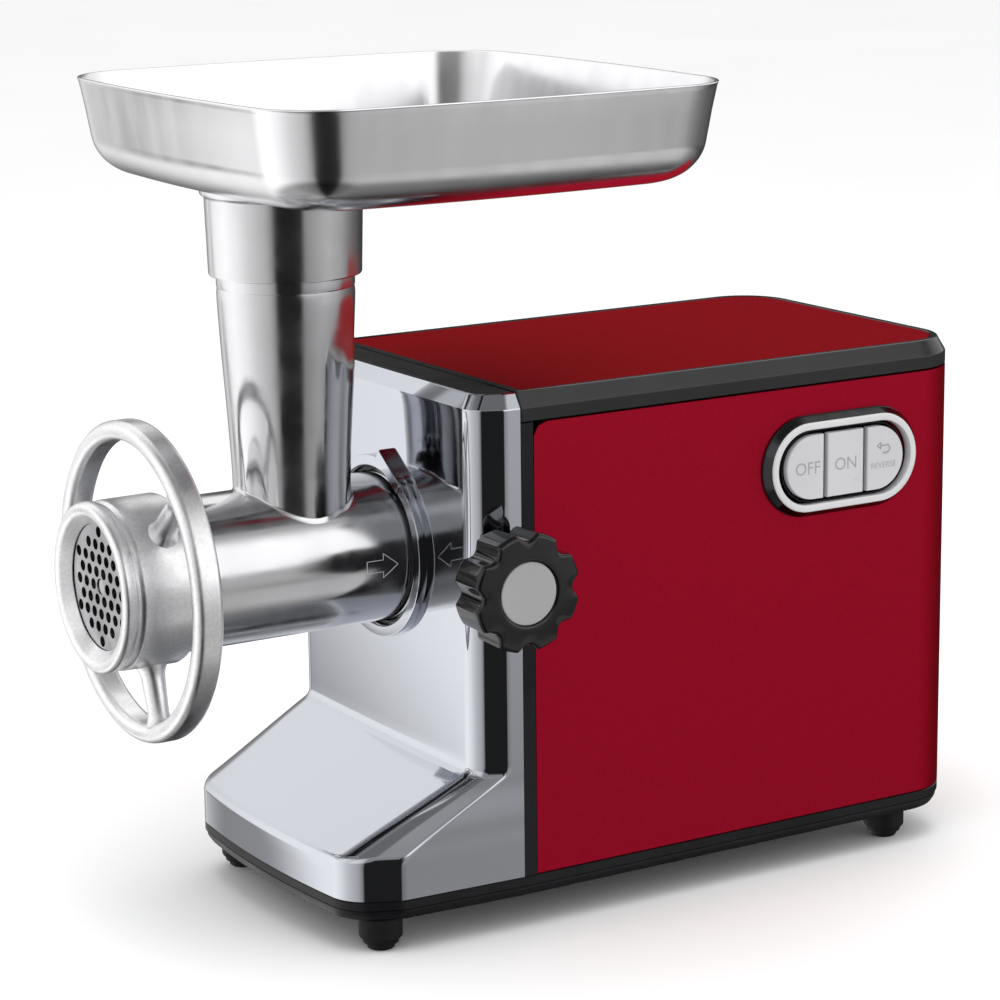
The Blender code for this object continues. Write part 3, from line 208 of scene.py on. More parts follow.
def cut(obj, work, centre=(0, 0, 0), axis="Z"):
    """Takes a bmesh in local millimetres out of an object and leaves a plain mesh."""
    cutter = linked("tool", made_mesh("tool", settled(work, centre, axis)))
    obj.modifiers.remove(obj.modifiers["Weigh"])
    modifier = obj.modifiers.new("Cut", "BOOLEAN")
    modifier.operation = "DIFFERENCE"
    modifier.object = cutter
    result = evaluated(obj)
    obj.modifiers.clear()
    look = obj.data.materials[0]
    obj.data = result
    obj.data.materials.clear()
    obj.data.materials.append(look)
    obj.data.set_sharp_from_angle(angle=SHARP)
    weigh(obj)
    bpy.data.objects.remove(cutter)


# -------- outlines in millimetres

def polar(radius, degrees):
    return (radius * math.cos(math.radians(degrees)), radius * math.sin(math.radians(degrees)))


def arc(cx, cy, radius, start, end, steps):
    """Points from one angle to another, both ends in."""
    return [(cx + x, cy + y) for x, y in
            (polar(radius, start + (end - start) * i / steps) for i in range(steps + 1))]


def smoothstep(low, high, value):
    share = min(1.0, max(0.0, (value - low) / (high - low)))
    return share * share * (3 - 2 * share)


def rounded(points, radii, steps=8, closed=True):
    """The outline through the points, each corner turned by an arc of its own radius."""
    outline = []
    count = len(points)
    for i, (point, radius) in enumerate(zip(points, radii)):
        here = Vector(point)
        if radius <= 0 or (not closed and i in (0, count - 1)):
            outline.append(tuple(here))
            continue
        back = (Vector(points[i - 1]) - here).normalized()
        ahead = (Vector(points[(i + 1) % count]) - here).normalized()
        half = back.angle(ahead) / 2
        centre = here + (back + ahead).normalized() * (radius / math.sin(half))
        start = here + back * (radius / math.tan(half)) - centre
        end = here + ahead * (radius / math.tan(half)) - centre
        turn = start.angle(end)
        for k in range(steps + 1):
            share = k / steps
            spoke = (start * math.sin((1 - share) * turn) + end * math.sin(share * turn)) / math.sin(turn)
            outline.append(tuple(centre + spoke))
    return outline


def box_path(side, front, rear, front_radius, rear_radius, steps, closed=True):
    """A plan from the front at side, round the rear, to the front at -side."""
    points = [(side, front), (side, rear), (-side, rear), (-side, front)]
    return rounded(points, [front_radius, rear_radius, rear_radius, front_radius], steps, closed)


def stadium(half_length, radius, steps=24):
    straight = half_length - radius
    end = arc(straight, 0, radius, -90, 90, steps)
    return end + [(-x, -y) for x, y in end]


def at_height(outline, z):
    return [(x, y, z) for x, y in outline]


def slab(outline, low, high, edge=0.0, steps=3):
    """A flat outline made solid, with its top edge rounded by shrinking it towards the middle."""
    mid = Vector((sum(x for x, _ in outline), sum(y for _, y in outline))) / len(outline)
    reach = max((Vector(point) - mid).length for point in outline)
    sections = [at_height(outline, low)]
    for i in range(steps + 1):
        x, z = polar(edge, 90 * i / steps)
        share = 1 - (edge - x) / reach
        sections.append([(*(mid + (Vector(point) - mid) * share), high - edge + z) for point in outline])
    return skin(sections)


# -------- materials

class Look:
    """A Principled material with helpers that add procedural detail to it."""

    def __init__(self, name, colour, roughness, metallic=0.0, coat=0.0, coat_roughness=0.03):
        self.material = bpy.data.materials.new(name)
        self.material.use_nodes = True
        self.nodes = self.material.node_tree.nodes
        self.links = self.material.node_tree.links
        self.shader = self.nodes["Principled BSDF"]
        for key, value in (("Base Color", (*colour, 1.0)), ("Roughness", roughness), ("Metallic", metallic),
                           ("Coat Weight", coat), ("Coat Roughness", coat_roughness)):
            self.shader.inputs[key].default_value = value
        self.material.diffuse_color = (*colour, 1.0)
        self.colour = colour
        self.roughness = roughness
        self.place = self.nodes.new("ShaderNodeTexCoord").outputs["Object"]

    def stretched(self, scale):
        mapping = self.nodes.new("ShaderNodeMapping")
        mapping.inputs["Scale"].default_value = scale
        self.links.new(self.place, mapping.inputs["Vector"])
        return mapping.outputs["Vector"]

    def noise(self, scale, detail=4.0, stretch=(1, 1, 1)):
        node = self.nodes.new("ShaderNodeTexNoise")
        node.inputs["Scale"].default_value = scale
        node.inputs["Detail"].default_value = detail
        self.links.new(self.stretched(stretch), node.inputs["Vector"])
        return node.outputs["Fac"]

    def mapped(self, source, low, high, from_low=0.35, from_high=0.65):
        node = self.nodes.new("ShaderNodeMapRange")
        limits = {"From Min": from_low, "From Max": from_high, "To Min": low, "To Max": high}
        for key, value in limits.items():
            node.inputs[key].default_value = value
        self.links.new(source, node.inputs["Value"])
        return node.outputs["Result"]

    def rough(self, source, spread):
        """Roughness that wanders by spread either side of its own value."""
        result = self.mapped(source, self.roughness - spread, self.roughness + spread)
        self.links.new(result, self.shader.inputs["Roughness"])
        return self

    def tint(self, source, other, share=(0.0, 1.0)):
        """Mixes the base colour with another by a texture."""
        mix = self.nodes.new("ShaderNodeMix")
        mix.data_type = "RGBA"
        mix.inputs["A"].default_value = (*self.colour, 1.0)
        mix.inputs["B"].default_value = (*other, 1.0)
        self.links.new(self.mapped(source, *share), mix.inputs["Factor"])
        self.links.new(mix.outputs["Result"], self.shader.inputs["Base Color"])
        return self

    def bump(self, source, strength, distance_mm):
        node = self.nodes.new("ShaderNodeBump")
        node.inputs["Strength"].default_value = strength
        node.inputs["Distance"].default_value = distance_mm * MM
        self.links.new(source, node.inputs["Height"])
        previous = self.shader.inputs["Normal"].links
        if previous:
            self.links.new(previous[0].from_socket, node.inputs["Normal"])
        self.links.new(node.outputs["Normal"], self.shader.inputs["Normal"])
        return self


def chrome():
    look = Look("mirror_chrome", (0.55, 0.565, 0.61), 0.05, 1.0)
    look.rough(look.noise(60, 6), 0.02)
    look.bump(look.noise(18, 2), 0.10, 0.05)
    return look.material


def cast_aluminium():
    """Polished casting: a fine pitted grain and long faint polishing marks."""
    look = Look("polished_casting", (0.72, 0.72, 0.73), 0.17, 1.0)
    look.rough(look.noise(45, 6), 0.07)
    look.tint(look.noise(12, 3), (0.62, 0.62, 0.64), (0.0, 0.6))
    look.bump(look.noise(900, 3), 0.16, 0.03)
    look.bump(look.noise(30, 3), 0.10, 0.12)
    return look.material


def satin_aluminium():
    look = Look("satin_casting", (0.93, 0.93, 0.94), 0.36, 1.0)
    look.rough(look.noise(80, 6), 0.08)
    look.tint(look.noise(700, 3), (0.80, 0.80, 0.81), (0.0, 0.8))
    look.bump(look.noise(1400, 4), 0.28, 0.05)
    look.bump(look.noise(60, 4), 0.12, 0.15)
    return look.material


def pressed_aluminium():
    """The tray: a smooth pressing with faint upright polishing marks."""
    look = Look("pressed_aluminium", (0.83, 0.83, 0.84), 0.21, 1.0)
    look.rough(look.noise(70, 6, (1, 1, 0.15)), 0.05)
    look.tint(look.noise(9, 2), (0.77, 0.77, 0.79), (0.0, 0.5))
    look.bump(look.noise(700, 3, (1, 1, 0.1)), 0.10, 0.02)
    return look.material


def steel(name="ground_steel", colour=(0.55, 0.55, 0.56), roughness=0.33):
    look = Look(name, colour, roughness, 1.0)
    look.rough(look.noise(150, 5), 0.08)
    look.tint(look.noise(40, 3), tuple(0.8 * c for c in colour))
    look.bump(look.noise(1200, 3, (1, 1, 0.2)), 0.2, 0.02)
    return look.material


def red_paint():
    """Metallic paint under a clear coat, with fine flake and a slow drift of colour."""
    look = Look("metallic_red", (0.375, 0.006, 0.024), 0.40, 0.88, coat=0.02, coat_roughness=0.12)
    look.shader.inputs["Specular Tint"].default_value = (0.60, 0.03, 0.06, 1.0)
    look.tint(look.noise(1500, 2), (0.44, 0.008, 0.030), (0.0, 0.8))
    look.rough(look.noise(500, 3), 0.04)
    look.bump(look.noise(1100, 2), 0.04, 0.01)
    return look.material


def moulded(name, colour, roughness, grain=900, strength=0.16, gloss=0.5, drift=1.5):
    """A moulded or painted surface with a fine grain. gloss is its specular level, drift how far its colour
    wanders."""
    look = Look(name, colour, roughness)
    look.shader.inputs["Specular IOR Level"].default_value = gloss
    look.rough(look.noise(70, 4), roughness * 0.2)
    look.tint(look.noise(20, 3), tuple(min(1.0, drift * c) for c in colour))
    look.bump(look.noise(grain, 3), strength, 0.03)
    return look.material


def copper():
    """Rotor: varnished windings, striped along the shaft."""
    look = Look("copper_winding", (0.55, 0.22, 0.10), 0.3, 1.0)
    look.tint(look.noise(300, 2, (1, 0.05, 1)), (0.30, 0.10, 0.05))
    look.bump(look.noise(500, 2, (1, 0.05, 1)), 0.5, 0.2)
    return look.material


BLACK_PLASTIC = moulded("black_plastic_moulding", (0.005, 0.005, 0.006), 0.30, gloss=0.22)
RIM_PLASTIC = moulded("rim_plastic_moulding", (0.005, 0.005, 0.006), 0.16, gloss=0.45)
RUBBER = moulded("black_rubber_moulding", (0.005, 0.005, 0.005), 0.6, 500, 0.3, gloss=0.2)
GLOSS_BLACK = moulded("gloss_black_moulding", (0.003, 0.003, 0.0035), 0.09, 300, 0.04)
CAP_GREY = moulded("cap_grey_paint", (0.29, 0.29, 0.295), 0.42, 1400, 0.10, gloss=0.3, drift=1.06)
KEY_SILVER = moulded("key_silver_paint", (0.50, 0.50, 0.52), 0.34, 1600, 0.08, drift=1.06)
KEY_PRINT = moulded("key_print", (0.30, 0.30, 0.31), 0.5, drift=1.1)
# painted shade: the barrel arrow's groove is not cut, and this grey line stands for the shade inside it
GROOVE_SHADE_LINE = moulded("arrow_groove_painted_shade", (0.42, 0.42, 0.44), 0.5)
NYLON = moulded("natural_nylon", (0.72, 0.70, 0.64), 0.48)
BOARD = moulded("solder_mask", (0.015, 0.13, 0.055), 0.42)
CARBON = moulded("pressed_carbon", (0.035, 0.035, 0.038), 0.62, 1500, 0.4)
CHROME = chrome()
# painted shade: the bezel's chrome bevel is coloured near-black metal, so its darkness comes from the colour
# and not from the light
SHADED_BEZEL_CHROME = steel("bezel_bevel_painted_shade", (0.06, 0.06, 0.063), 0.10)
# painted highlight: the bezel's chrome ring is coloured pale glossy grey, so its brightness comes from the
# colour and not from a reflection
HIGHLIGHT_BEZEL = moulded("bezel_ring_painted_highlight", (0.56, 0.56, 0.57), 0.12, 1600, 0.04, gloss=0.9, drift=1.05)
CASTING = cast_aluminium()
SATIN = satin_aluminium()
PRESSING = pressed_aluminium()
STEEL = steel()
PLATE_STEEL = steel("plate_steel", (0.50, 0.50, 0.51), 0.28)
GEAR_CASE = steel("rough_die_casting", (0.42, 0.43, 0.44), 0.55)
BRONZE = steel("sintered_bronze", (0.66, 0.46, 0.20), 0.38)
RED = red_paint()
COPPER = copper()

NODE_LOOKS = (
    (BLACK_PLASTIC, "front_frame control_well"), (RUBBER, "cord_inlet"), (BOARD, "control_board"),
    (GLOSS_BLACK, "switch_off switch_on switch_reverse"), (COPPER, "rotor"), (CASTING, "worm"),
    (NYLON, "fan gear_first gear_second"), (CARBON, "brush_left brush_right"),
    (BRONZE, "output_bearing worm_bush motor_bearing_front motor_bearing_rear"),
    (GEAR_CASE, "motor_bracket_front motor_bracket_rear gearbox_housing gearbox_cover head_socket"))


def paint_nodes():
    """Every CAD node that stays takes a procedural material. What isn't listed is steel."""
    looks = {name: look for look, names in NODE_LOOKS for name in names.split()}
    for name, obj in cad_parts.items():
        obj.data.materials.clear()
        obj.data.materials.append(looks.get(name, STEEL))


# -------- tray

def tray_outline(inset, corner_steps=14, side_steps=10):
    """A rounded rectangle whose sides bow outwards; inset draws every side in."""
    bow = 3.0
    centre_y = (TRAY_LOW.y + TRAY_HIGH.y) / 2
    half_x = TRAY_HIGH.x - bow - inset
    half_y = (TRAY_HIGH.y - TRAY_LOW.y) / 2 - bow - inset
    radius = 34.0 - 0.6 * inset
    outline = []
    for turn, sx, sy in ((0, 1, 1), (90, -1, 1), (180, -1, -1), (270, 1, -1)):
        corner = arc(sx * (half_x - radius), sy * (half_y - radius), radius, turn, turn + 90, corner_steps)
        outline += corner
        start = Vector(corner[-1])
        end = Vector((-start.x, start.y) if turn % 180 == 0 else (start.x, -start.y))
        outwards = ((start + end) / 2).normalized()
        for i in range(1, side_steps):
            share = i / side_steps
            outline.append(tuple(start.lerp(end, share) + outwards * bow * (1 - (2 * share - 1) ** 2)))
    return [(x, y + centre_y) for x, y in outline]


def tray():
    """A thin pressed pan with flared walls, a large bottom radius and a rolled edge."""
    floor_z, rim_z, wall, flare, radius, sweep = 338.0, TRAY_HIGH.z, 1.5, 4.6, 21.0, 0.9
    outer = [(flare + radius + 10.0, floor_z)]
    for angle in range(0, 91, 6):
        x, z = polar(radius, -90 + angle * sweep)
        outer.append((flare + radius - x, floor_z + radius + z))
    outer += [(2.6, rim_z - 13.0), (0.75, rim_z - 3.0), (0.35, rim_z - 1.2)]
    roll = [(0.0, rim_z - 0.6), (0.15, rim_z - 0.15), (wall / 2, rim_z), (wall - 0.15, rim_z - 0.15)]
    inner = [(inset + wall, max(z, floor_z) + (wall if z < floor_z + 1 else wall * 0.5))
             for inset, z in outer[::-1]]
    sections = [at_height(tray_outline(inset), z) for inset, z in outer + roll + inner]
    pan = add("tray_pan", close_up(skin(sections, caps=False)), PRESSING, "tray", "tray_aluminium")
    bore = 31.6
    cut(pan, rod(bore, floor_z + 20, floor_z - 20), (0, NECK_Y, 0))
    profile = [(bore, floor_z + 1.6), (bore + 3.0, floor_z + 1.9), (bore + 3.6, floor_z + 1.3)]
    profile += [(37.0, floor_z + 0.4), (37.5, floor_z - 0.4), (37.5, floor_z - 2.0), (37.2, floor_z - 2.6),
                (36.0, floor_z - 3.4), (35.5, floor_z - 4.2), (34.5, TRAY_LOW.z + 0.8),
                (34.1, TRAY_LOW.z + 0.1), (33.6, TRAY_LOW.z), (bore + 0.2, TRAY_LOW.z),
                (bore, TRAY_LOW.z + 0.3)]
    add("tray_collar", turned(profile, 128), CASTING, "tray", "tray_aluminium", (0, NECK_Y, 0))
    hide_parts("tray")


# -------- grinding head

NECK_TOP_R = 31.2
COLLAR_Z, NECK_DROP, NECK_ROWS = 293.6, 86.0, 30  # the step under the neck's collar, and the wall below it
RIBS = ((-74, 8, 0.5, 232), (42, 19, 1.5, 280))  # each one's bearing, half width, height and upper end
RIB_FADE = 26


def neck_radius(z, angle):
    """The tapering neck with a low rib on its front and a longer one on the housing's side."""
    root, top = 26.2, NECK_TOP_R
    eased, straight = smoothstep(204, 292, z), min(1.0, max(0.0, (z - 200) / 90))
    radius = root + (top - root) * (0.35 * eased + 0.65 * straight)
    for centre, half, height, end in RIBS:
        off = abs((angle - centre + 180) % 360 - 180)
        radius += height * (1 - smoothstep(half * 0.3, half, off)) * (1 - smoothstep(end - RIB_FADE, end, z))
    return radius


def neck():
    """The feed neck: bore, lip, tapering wall and a fillet that lies down on the barrel."""
    steps, fillet = 144, 1.7
    sections = []
    for radius, z in ((22.4, 196.0), (22.8, 215.0), (26.8, 297.0), (27.0, NECK_TOP - 0.5),
                      (27.4, NECK_TOP), (30.8, NECK_TOP), (NECK_TOP_R, NECK_TOP - 0.4), (NECK_TOP_R, 297.5),
                      (NECK_TOP_R, 294.2), (30.9, COLLAR_Z)):
        sections.append([(*polar(radius, 360 * k / steps), z) for k in range(steps)])
    for i in range(1, NECK_ROWS + 1):
        z = COLLAR_Z - NECK_DROP * i / NECK_ROWS
        sections.append([(*polar(neck_radius(z, 360 * k / steps), 360 * k / steps), z)
                         for k in range(steps)])
    for i in range(0, 11):
        out, up = polar(fillet, 180 + 90 * i / 10)
        ring = []
        for k in range(steps):
            angle = 360 * k / steps
            radius = neck_radius(206, angle) + fillet + out
            x, y = polar(radius, angle)
            z = AXIS_Z + math.sqrt(max(0.0, BARREL_R ** 2 - min(x * x, 0.985 * BARREL_R ** 2))) - 0.12
            lean = smoothstep(0.55, 0.95, abs(x) / BARREL_R)
            ring.append((x, y, z + (fillet + up) * (1 - 0.35 * lean)))
        sections.append(ring)
    sections.append([(x * 0.93, y * 0.93, z - 4.0) for x, y, z in sections[-1]])
    add("feed_neck", skin(sections, ring=True), CASTING, "head", "cast_aluminium", (0, NECK_Y, 0))


def barrel():
    """The barrel, open at both ends, with a hole under the neck."""
    front, rear = -BARREL_FRONT, -BARREL_REAR
    profile = [(29.5, front - 0.4), (30.0, front), (33.6, front), (34.2, front - 0.5), (34.2, front - 12.0),
               (34.7, front - 13.0), (34.7, rear + 26.0), (34.7, rear + 24.6), (34.1, rear + 24.0),
               (34.1, rear + 22.4), (34.7, rear + 21.8), (34.7, rear + 1.2), (33.6, rear), (20.4, rear),
               (20.0, rear + 0.4), (20.0, rear + 14.0), (14.0, rear + 14.0), (14.0, rear + 24.0),
               (29.5, rear + 24.0)]
    piece = add("barrel", turned(profile, 144), CASTING, "head", "cast_aluminium", HEAD_AXIS, "-Y")
    cut(piece, rod(24.0, 60, 0), (0, NECK_Y, AXIS_Z))
    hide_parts("head_casting")


def arrow_outline(length, width, head, shaft):
    """A block arrow that points along +x."""
    half, stem = width / 2, shaft / 2
    return [(0, -stem), (length - head, -stem), (length - head, -half), (length, 0), (length - head, half),
            (length - head, stem), (0, stem)]


def wrapped_line(name, outline, closed, line_width, surface, look, body):
    """A thin raised line that follows an outline laid on a surface. surface maps (u, v) to a point."""
    curve = bpy.data.curves.new(name, "CURVE")
    curve.dimensions = "3D"
    curve.bevel_depth = line_width / 2 * MM
    curve.bevel_resolution = 1
    spline = curve.splines.new("POLY")
    dense = []
    for start, end in zip(outline, outline[1:] + (outline[:1] if closed else [])):
        for i in range(6):
            dense.append(Vector(start).lerp(Vector(end), i / 6))
    if not closed:
        dense.append(Vector(outline[-1]))
    spline.points.add(len(dense) - 1)
    for point, (u, v) in zip(spline.points, dense):
        point.co = (*(Vector(surface(u, v)) * MM), 1)
    spline.use_cyclic_u = closed
    obj = linked(name, curve)
    curve.materials.append(look)
    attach(obj, body)


def alignment_arrow():
    """An arrow on the barrel that points at the casing, where its reflection faces it; its raised grey line
    is painted shade standing for an engraved groove.
    """
    tail, tilt = BARREL_REAR - 47.5, math.radians(-1.0)

    def on_barrel(u, v):
        angle = tilt + v / BARREL_R
        return (BARREL_R * math.cos(angle), tail + u, AXIS_Z + BARREL_R * math.sin(angle))

    outline = arrow_outline(length=16.0, width=11.5, head=7.5, shaft=5.5)
    wrapped_line("barrel_arrow", outline, True, 0.36, on_barrel, GROOVE_SHADE_LINE, "head")


# -------- ring nut, wheel and plate

def wheel_profile():
    """The handwheel's rim: rounded all round, a little flatter outside."""
    outer, inner, front, rear = WHEEL_R, WHEEL_R - 8.8, -18.0, -31.0
    broad, tight = 3.6, 3.0
    points = arc(outer - broad, front - broad, broad, 90, 0, 6)
    points += arc(outer - tight, rear + tight, tight, 0, -90, 5)
    points += arc(inner + tight, rear + tight, tight, -90, -180, 5)
    points += arc(inner + broad, front - broad, broad, 180, 90, 5)
    return points


def spoke(angle, height):
    """A tapering round spoke that flares into the nut and the rim."""
    start, end = NUT_R - 0.8, WHEEL_R - 7.6
    sections = []
    rows, around = 26, 28
    girth, taper, nut_flare, rim_flare = 5.7, 0.7, 1.6, 2.4
    turn = math.radians(angle)
    for i in range(rows + 1):
        share = i / rows
        along = start + (end - start) * share
        radius = girth - taper * share + nut_flare * max(0.0, 1 - share / 0.22) ** 2
        radius += rim_flare * max(0.0, share / 0.25 - 3) ** 2.2
        section = []
        for k in range(around):
            across, depth = polar(radius, 360 * k / around)
            section.append((along * math.cos(turn) - across * math.sin(turn),
                            along * math.sin(turn) + across * math.cos(turn),
                            height + depth * (1 - 0.12 * share)))
        sections.append(section)
    return skin(sections)


def ring_nut():
    """A cast nut with a bevelled mouth, a groove behind its lip, and a handwheel on three spokes."""
    rear, ease = NUT_LOW.y - NUT_HIGH.y, 2.4
    profile = [(28.5, -5.4), (28.7, -4.9), (32.4, -1.2), (33.2, -0.5), (34.4, 0.0)]
    profile += arc(NUT_R - ease, -ease, ease, 90, 0, 6)
    profile += [(NUT_R, -5.4), (NUT_R - 0.5, -6.3), (NUT_R - 1.3, -7.0), (NUT_R - 1.3, -8.2),
                (NUT_R - 0.6, -9.2), (NUT_R - 0.2, -10.6), (NUT_R - 0.1, -18.0), (NUT_R, rear + 2.0),
                (NUT_R - 0.6, rear + 0.6), (NUT_R - 1.6, rear), (35.4, rear), (35.1, rear + 0.4),
                (35.1, -5.4)]
    part = (SATIN, "nut", "satin_aluminium", (0, NUT_LOW.y, AXIS_Z), "-Y")
    nut = add("nut_body", turned(profile, 144), *part)
    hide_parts("ring_nut")
    add("handwheel_rim", turned(wheel_profile(), 160), *part)
    mid_rim = -24.5
    for i, angle in enumerate((45.0, 165.0, 285.0)):
        add(f"handwheel_spoke_{i + 1}", spoke(angle, mid_rim), *part)


def plate_hole_places():
    """A triangular grid of holes between the hub and the edge."""
    pitch, hub, limit = 7.2, 7.0, 25.8
    rows = int(PLATE_R // (pitch * math.sqrt(3) / 2))
    for row in range(-rows, rows + 1):
        for column in range(-rows - 3, rows + 4):
            x = (column + (row % 2) / 2) * pitch
            y = row * pitch * math.sqrt(3) / 2
            if hub < math.hypot(x, y) < limit:
                yield x, y


def mincing_plate():
    """The perforated plate with truly round holes."""
    curve = bpy.data.curves.new("perforated_plate", "CURVE")
    curve.dimensions = "2D"
    curve.fill_mode = "BOTH"
    thickness, stud_hole, hole = PLATE_HIGH.y - PLATE_LOW.y, 3.7, 2.5
    curve.extrude = thickness / 2 * MM
    outlines = [arc(0, 0, PLATE_R, 0, 360, 96)[:-1], arc(0, 0, stud_hole, 0, 360, 32)[:-1]]
    outlines += [arc(x, y, hole, 0, 360, 24)[:-1] for x, y in plate_hole_places()]
    for outline in outlines:
        spline = curve.splines.new("POLY")
        spline.points.add(len(outline) - 1)
        for point, (x, y) in zip(spline.points, outline):
            point.co = (x * MM, y * MM, 0, 1)
        spline.use_cyclic_u = True
    holder = linked("holder", curve)
    mesh = evaluated(holder)
    bpy.data.objects.remove(holder)
    work = bmesh.new()
    work.from_mesh(mesh)
    bmesh.ops.remove_doubles(work, verts=work.verts, dist=0.00001)
    bmesh.ops.recalc_face_normals(work, faces=work.faces)
    bmesh.ops.scale(work, verts=work.verts, vec=(1 / MM, 1 / MM, 1 / MM))
    centre = (0, (PLATE_LOW.y + PLATE_HIGH.y) / 2, AXIS_Z)
    piece = add("perforated_plate", work, PLATE_STEEL, "plate", "steel", centre, "-Y")
    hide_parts("mincing_plate")


# -------- front casing

def front_plan(front, side, facet, bow, root, corner_steps=14, face_steps=20):
    """The plan of the casing or base in front of the seam, from +X round to -X.

    Each corner is a facet that looks mostly sideways, with a curve at both its ends. facet scales it, and bow
    pushes the middle of the front out.
    """
    deep, wide, near, far = 14.0 * facet, 7.0 * facet, 8.0 * facet, 12.0 * facet
    points = [(root, SEAM_Y), (side, front + deep), (side - wide, front)]
    points += [(-x, y) for x, y in points[::-1]]
    path = rounded(points, [0, near, far, far, near, 0], corner_steps, closed=False)
    half = len(path) // 2
    edge = path[half - 1][0]
    middle = [(edge * (1 - 2 * i / face_steps), front) for i in range(1, face_steps)]
    return [(x, y - bow * (1 - min(1.0, (x / side) ** 2))) for x, y in path[:half] + middle + path[half:]]


def casing_levels():
    """(z, front y, half width, facet, bow, half width at the seam) from the lip up to the top edge."""
    side, face_facet, face_bow = HALF_WIDTH, 1.0, 1.2
    lip_z, heel_z, bend = 45.0, 76.5, 6.0
    low, top = CASING_LOW.z, CASING_HIGH.z
    points = [(TOE_Y, low), (TOE_Y, lip_z), (FACE_Y, heel_z), (FACE_Y, EDGE_Z - 0.6)]
    profile = rounded(points, [0, bend, bend, 0], 8, closed=False)
    dense = profile[:1]
    for start, end in zip(profile, profile[1:]):
        pieces = max(1, round(math.dist(start, end) / 5.0))
        dense += [tuple(Vector(start).lerp(Vector(end), i / pieces)) for i in range(1, pieces + 1)]
    levels = []
    for front, z in dense:
        share = min(1.0, max(0.0, (z - lip_z) / (heel_z - lip_z)))
        width = side - TOE_INSET + TOE_INSET * smoothstep(0, 1, share)
        facet = TOE_FACET - (TOE_FACET - face_facet) * share
        bow = TOE_BOW * (1 - share) + face_bow * share
        levels.append((z, front + face_bow * share, width, facet, bow, side))
    for z, inset, facet in ((EDGE_Z + 0.3, 0.25, 0.99), (top - 0.5, 4.2, 0.84), (top, 4.9, 0.80)):
        levels.append((z, FACE_Y + face_bow + inset, side - inset, facet, face_bow, side - inset))
    return levels


def front_casing():
    """A mirror-plated sheet: sloping foot, upright face, chamfered top edge and faceted upright corners."""
    crease = math.radians(18)
    sections = [at_height(front_plan(*level[1:]), level[0]) for level in casing_levels()[::-1]]
    work = skin(sections, caps=False, closed=False)
    front_faces = [face for face in work.faces if face.calc_center_median().y < FACE_Y - 0.01]
    if sum(face.normal.y for face in front_faces) > 0:
        bmesh.ops.reverse_faces(work, faces=work.faces)
    piece = add("casing_sheet", work, CHROME, "housing", "chrome", sharp=crease)
    modifier = piece.modifiers.new("Sheet", "SOLIDIFY")
    modifier.thickness = 2.2 * MM
    modifier.offset = -1
    modifier.use_even_offset = True
    socket_hole, screw_hole = 39.9, 4.2
    cut(piece, rod(socket_hole, 60, 20, 128), (0, SEAM_Y, AXIS_Z), "-Y")
    cut(piece, rod(screw_hole, 100, 60, 32), KNOB_AXIS, "X")
    piece.data.set_sharp_from_angle(angle=crease)
    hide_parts("front_casing")


def socket_trim():
    """The bright ring, the dark throat behind it and the lug beside the barrel."""
    face = -FACE_Y
    ring = [(36.9, face - 5.0), (36.9, face + 1.2), (37.6, face + 3.4), (38.1, face + 3.9),
            (42.2, face + 3.9), (42.6, face + 3.7), (42.8, face + 3.2), (42.8, face + 0.2),
            (42.0, face - 5.0)]
    bright = add("socket_bezel", turned(ring, 144), CHROME, "housing", "chrome", HEAD_AXIS, "-Y")
    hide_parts("socket_ring")
    throat = [(35.2, face - 1.0), (35.5, face + 1.6), (36.0, face + 2.0), (36.5, face + 1.6),
              (36.7, face - 0.6), (36.7, face - 12.0), (35.2, face - 12.0)]
    add("socket_throat", turned(throat, 144), GLOSS_BLACK, "housing", "black_plastic", HEAD_AXIS, "-Y")
    near, far = Vector(polar(39.8, 53)), Vector(polar(44.6, 81))
    end_margin, broader = 1.5, 1.9
    along = (far - near).normalized() * end_margin
    across = Vector((-along.y, along.x)) * broader
    corners = [near - across - along, near + across - along, far + across + along, far - across + along]
    lug = slab(rounded(corners, [1.0, 1.0, 1.0, 1.0], 4), face - 1.0, face + 4.6, 1.2)
    add("socket_lug", lug, CHROME, "housing", "chrome", HEAD_AXIS, "-Y", math.radians(25))


# -------- housing

def body_shell():
    """The painted wrap. Its upper front corners are rounded and its edges are eased."""
    low, high, radius, ease, sheet = SHELL_LOW.z, SHELL_HIGH.z, 7.0, 0.5, 1.4
    front = SHELL_LOW.y
    levels = [low, low + ease, low + 60, low + 120, high - 40]
    levels += [high - radius + radius * math.sin(math.radians(a)) for a in range(0, 91, 10)]

    def drawn_back(z):
        over = max(0.0, z - (high - radius))
        return radius - math.sqrt(max(0.0, radius * radius - over * over))

    def row(inset, z, tuck):
        path = box_path(HALF_WIDTH - inset, front, REAR_Y - inset, 0, REAR_R - inset, 16, False)
        back = drawn_back(z) + tuck
        path[0] = (path[0][0], front + back)
        path[-1] = (path[-1][0], front + back)
        return at_height(path, z)

    outside = [row(0.0, z, 0.0) for z in levels]
    outside[0] = row(0.45, levels[0], 0.0)
    outside.append(row(0.45, high, 0.3))
    inside = [row(sheet, z, 0.3) for z in [high] + levels[::-1]]
    work = close_up(skin(outside + inside, ring=True, closed=False))
    piece = add("painted_wrap", work, RED, "housing", "red_paint")
    opening_half, opening_r = 37.4, 18.6
    cut(piece, slab(stadium(opening_half, opening_r), -30, 30), PANEL_CENTRE, "X")
    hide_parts("body_shell")


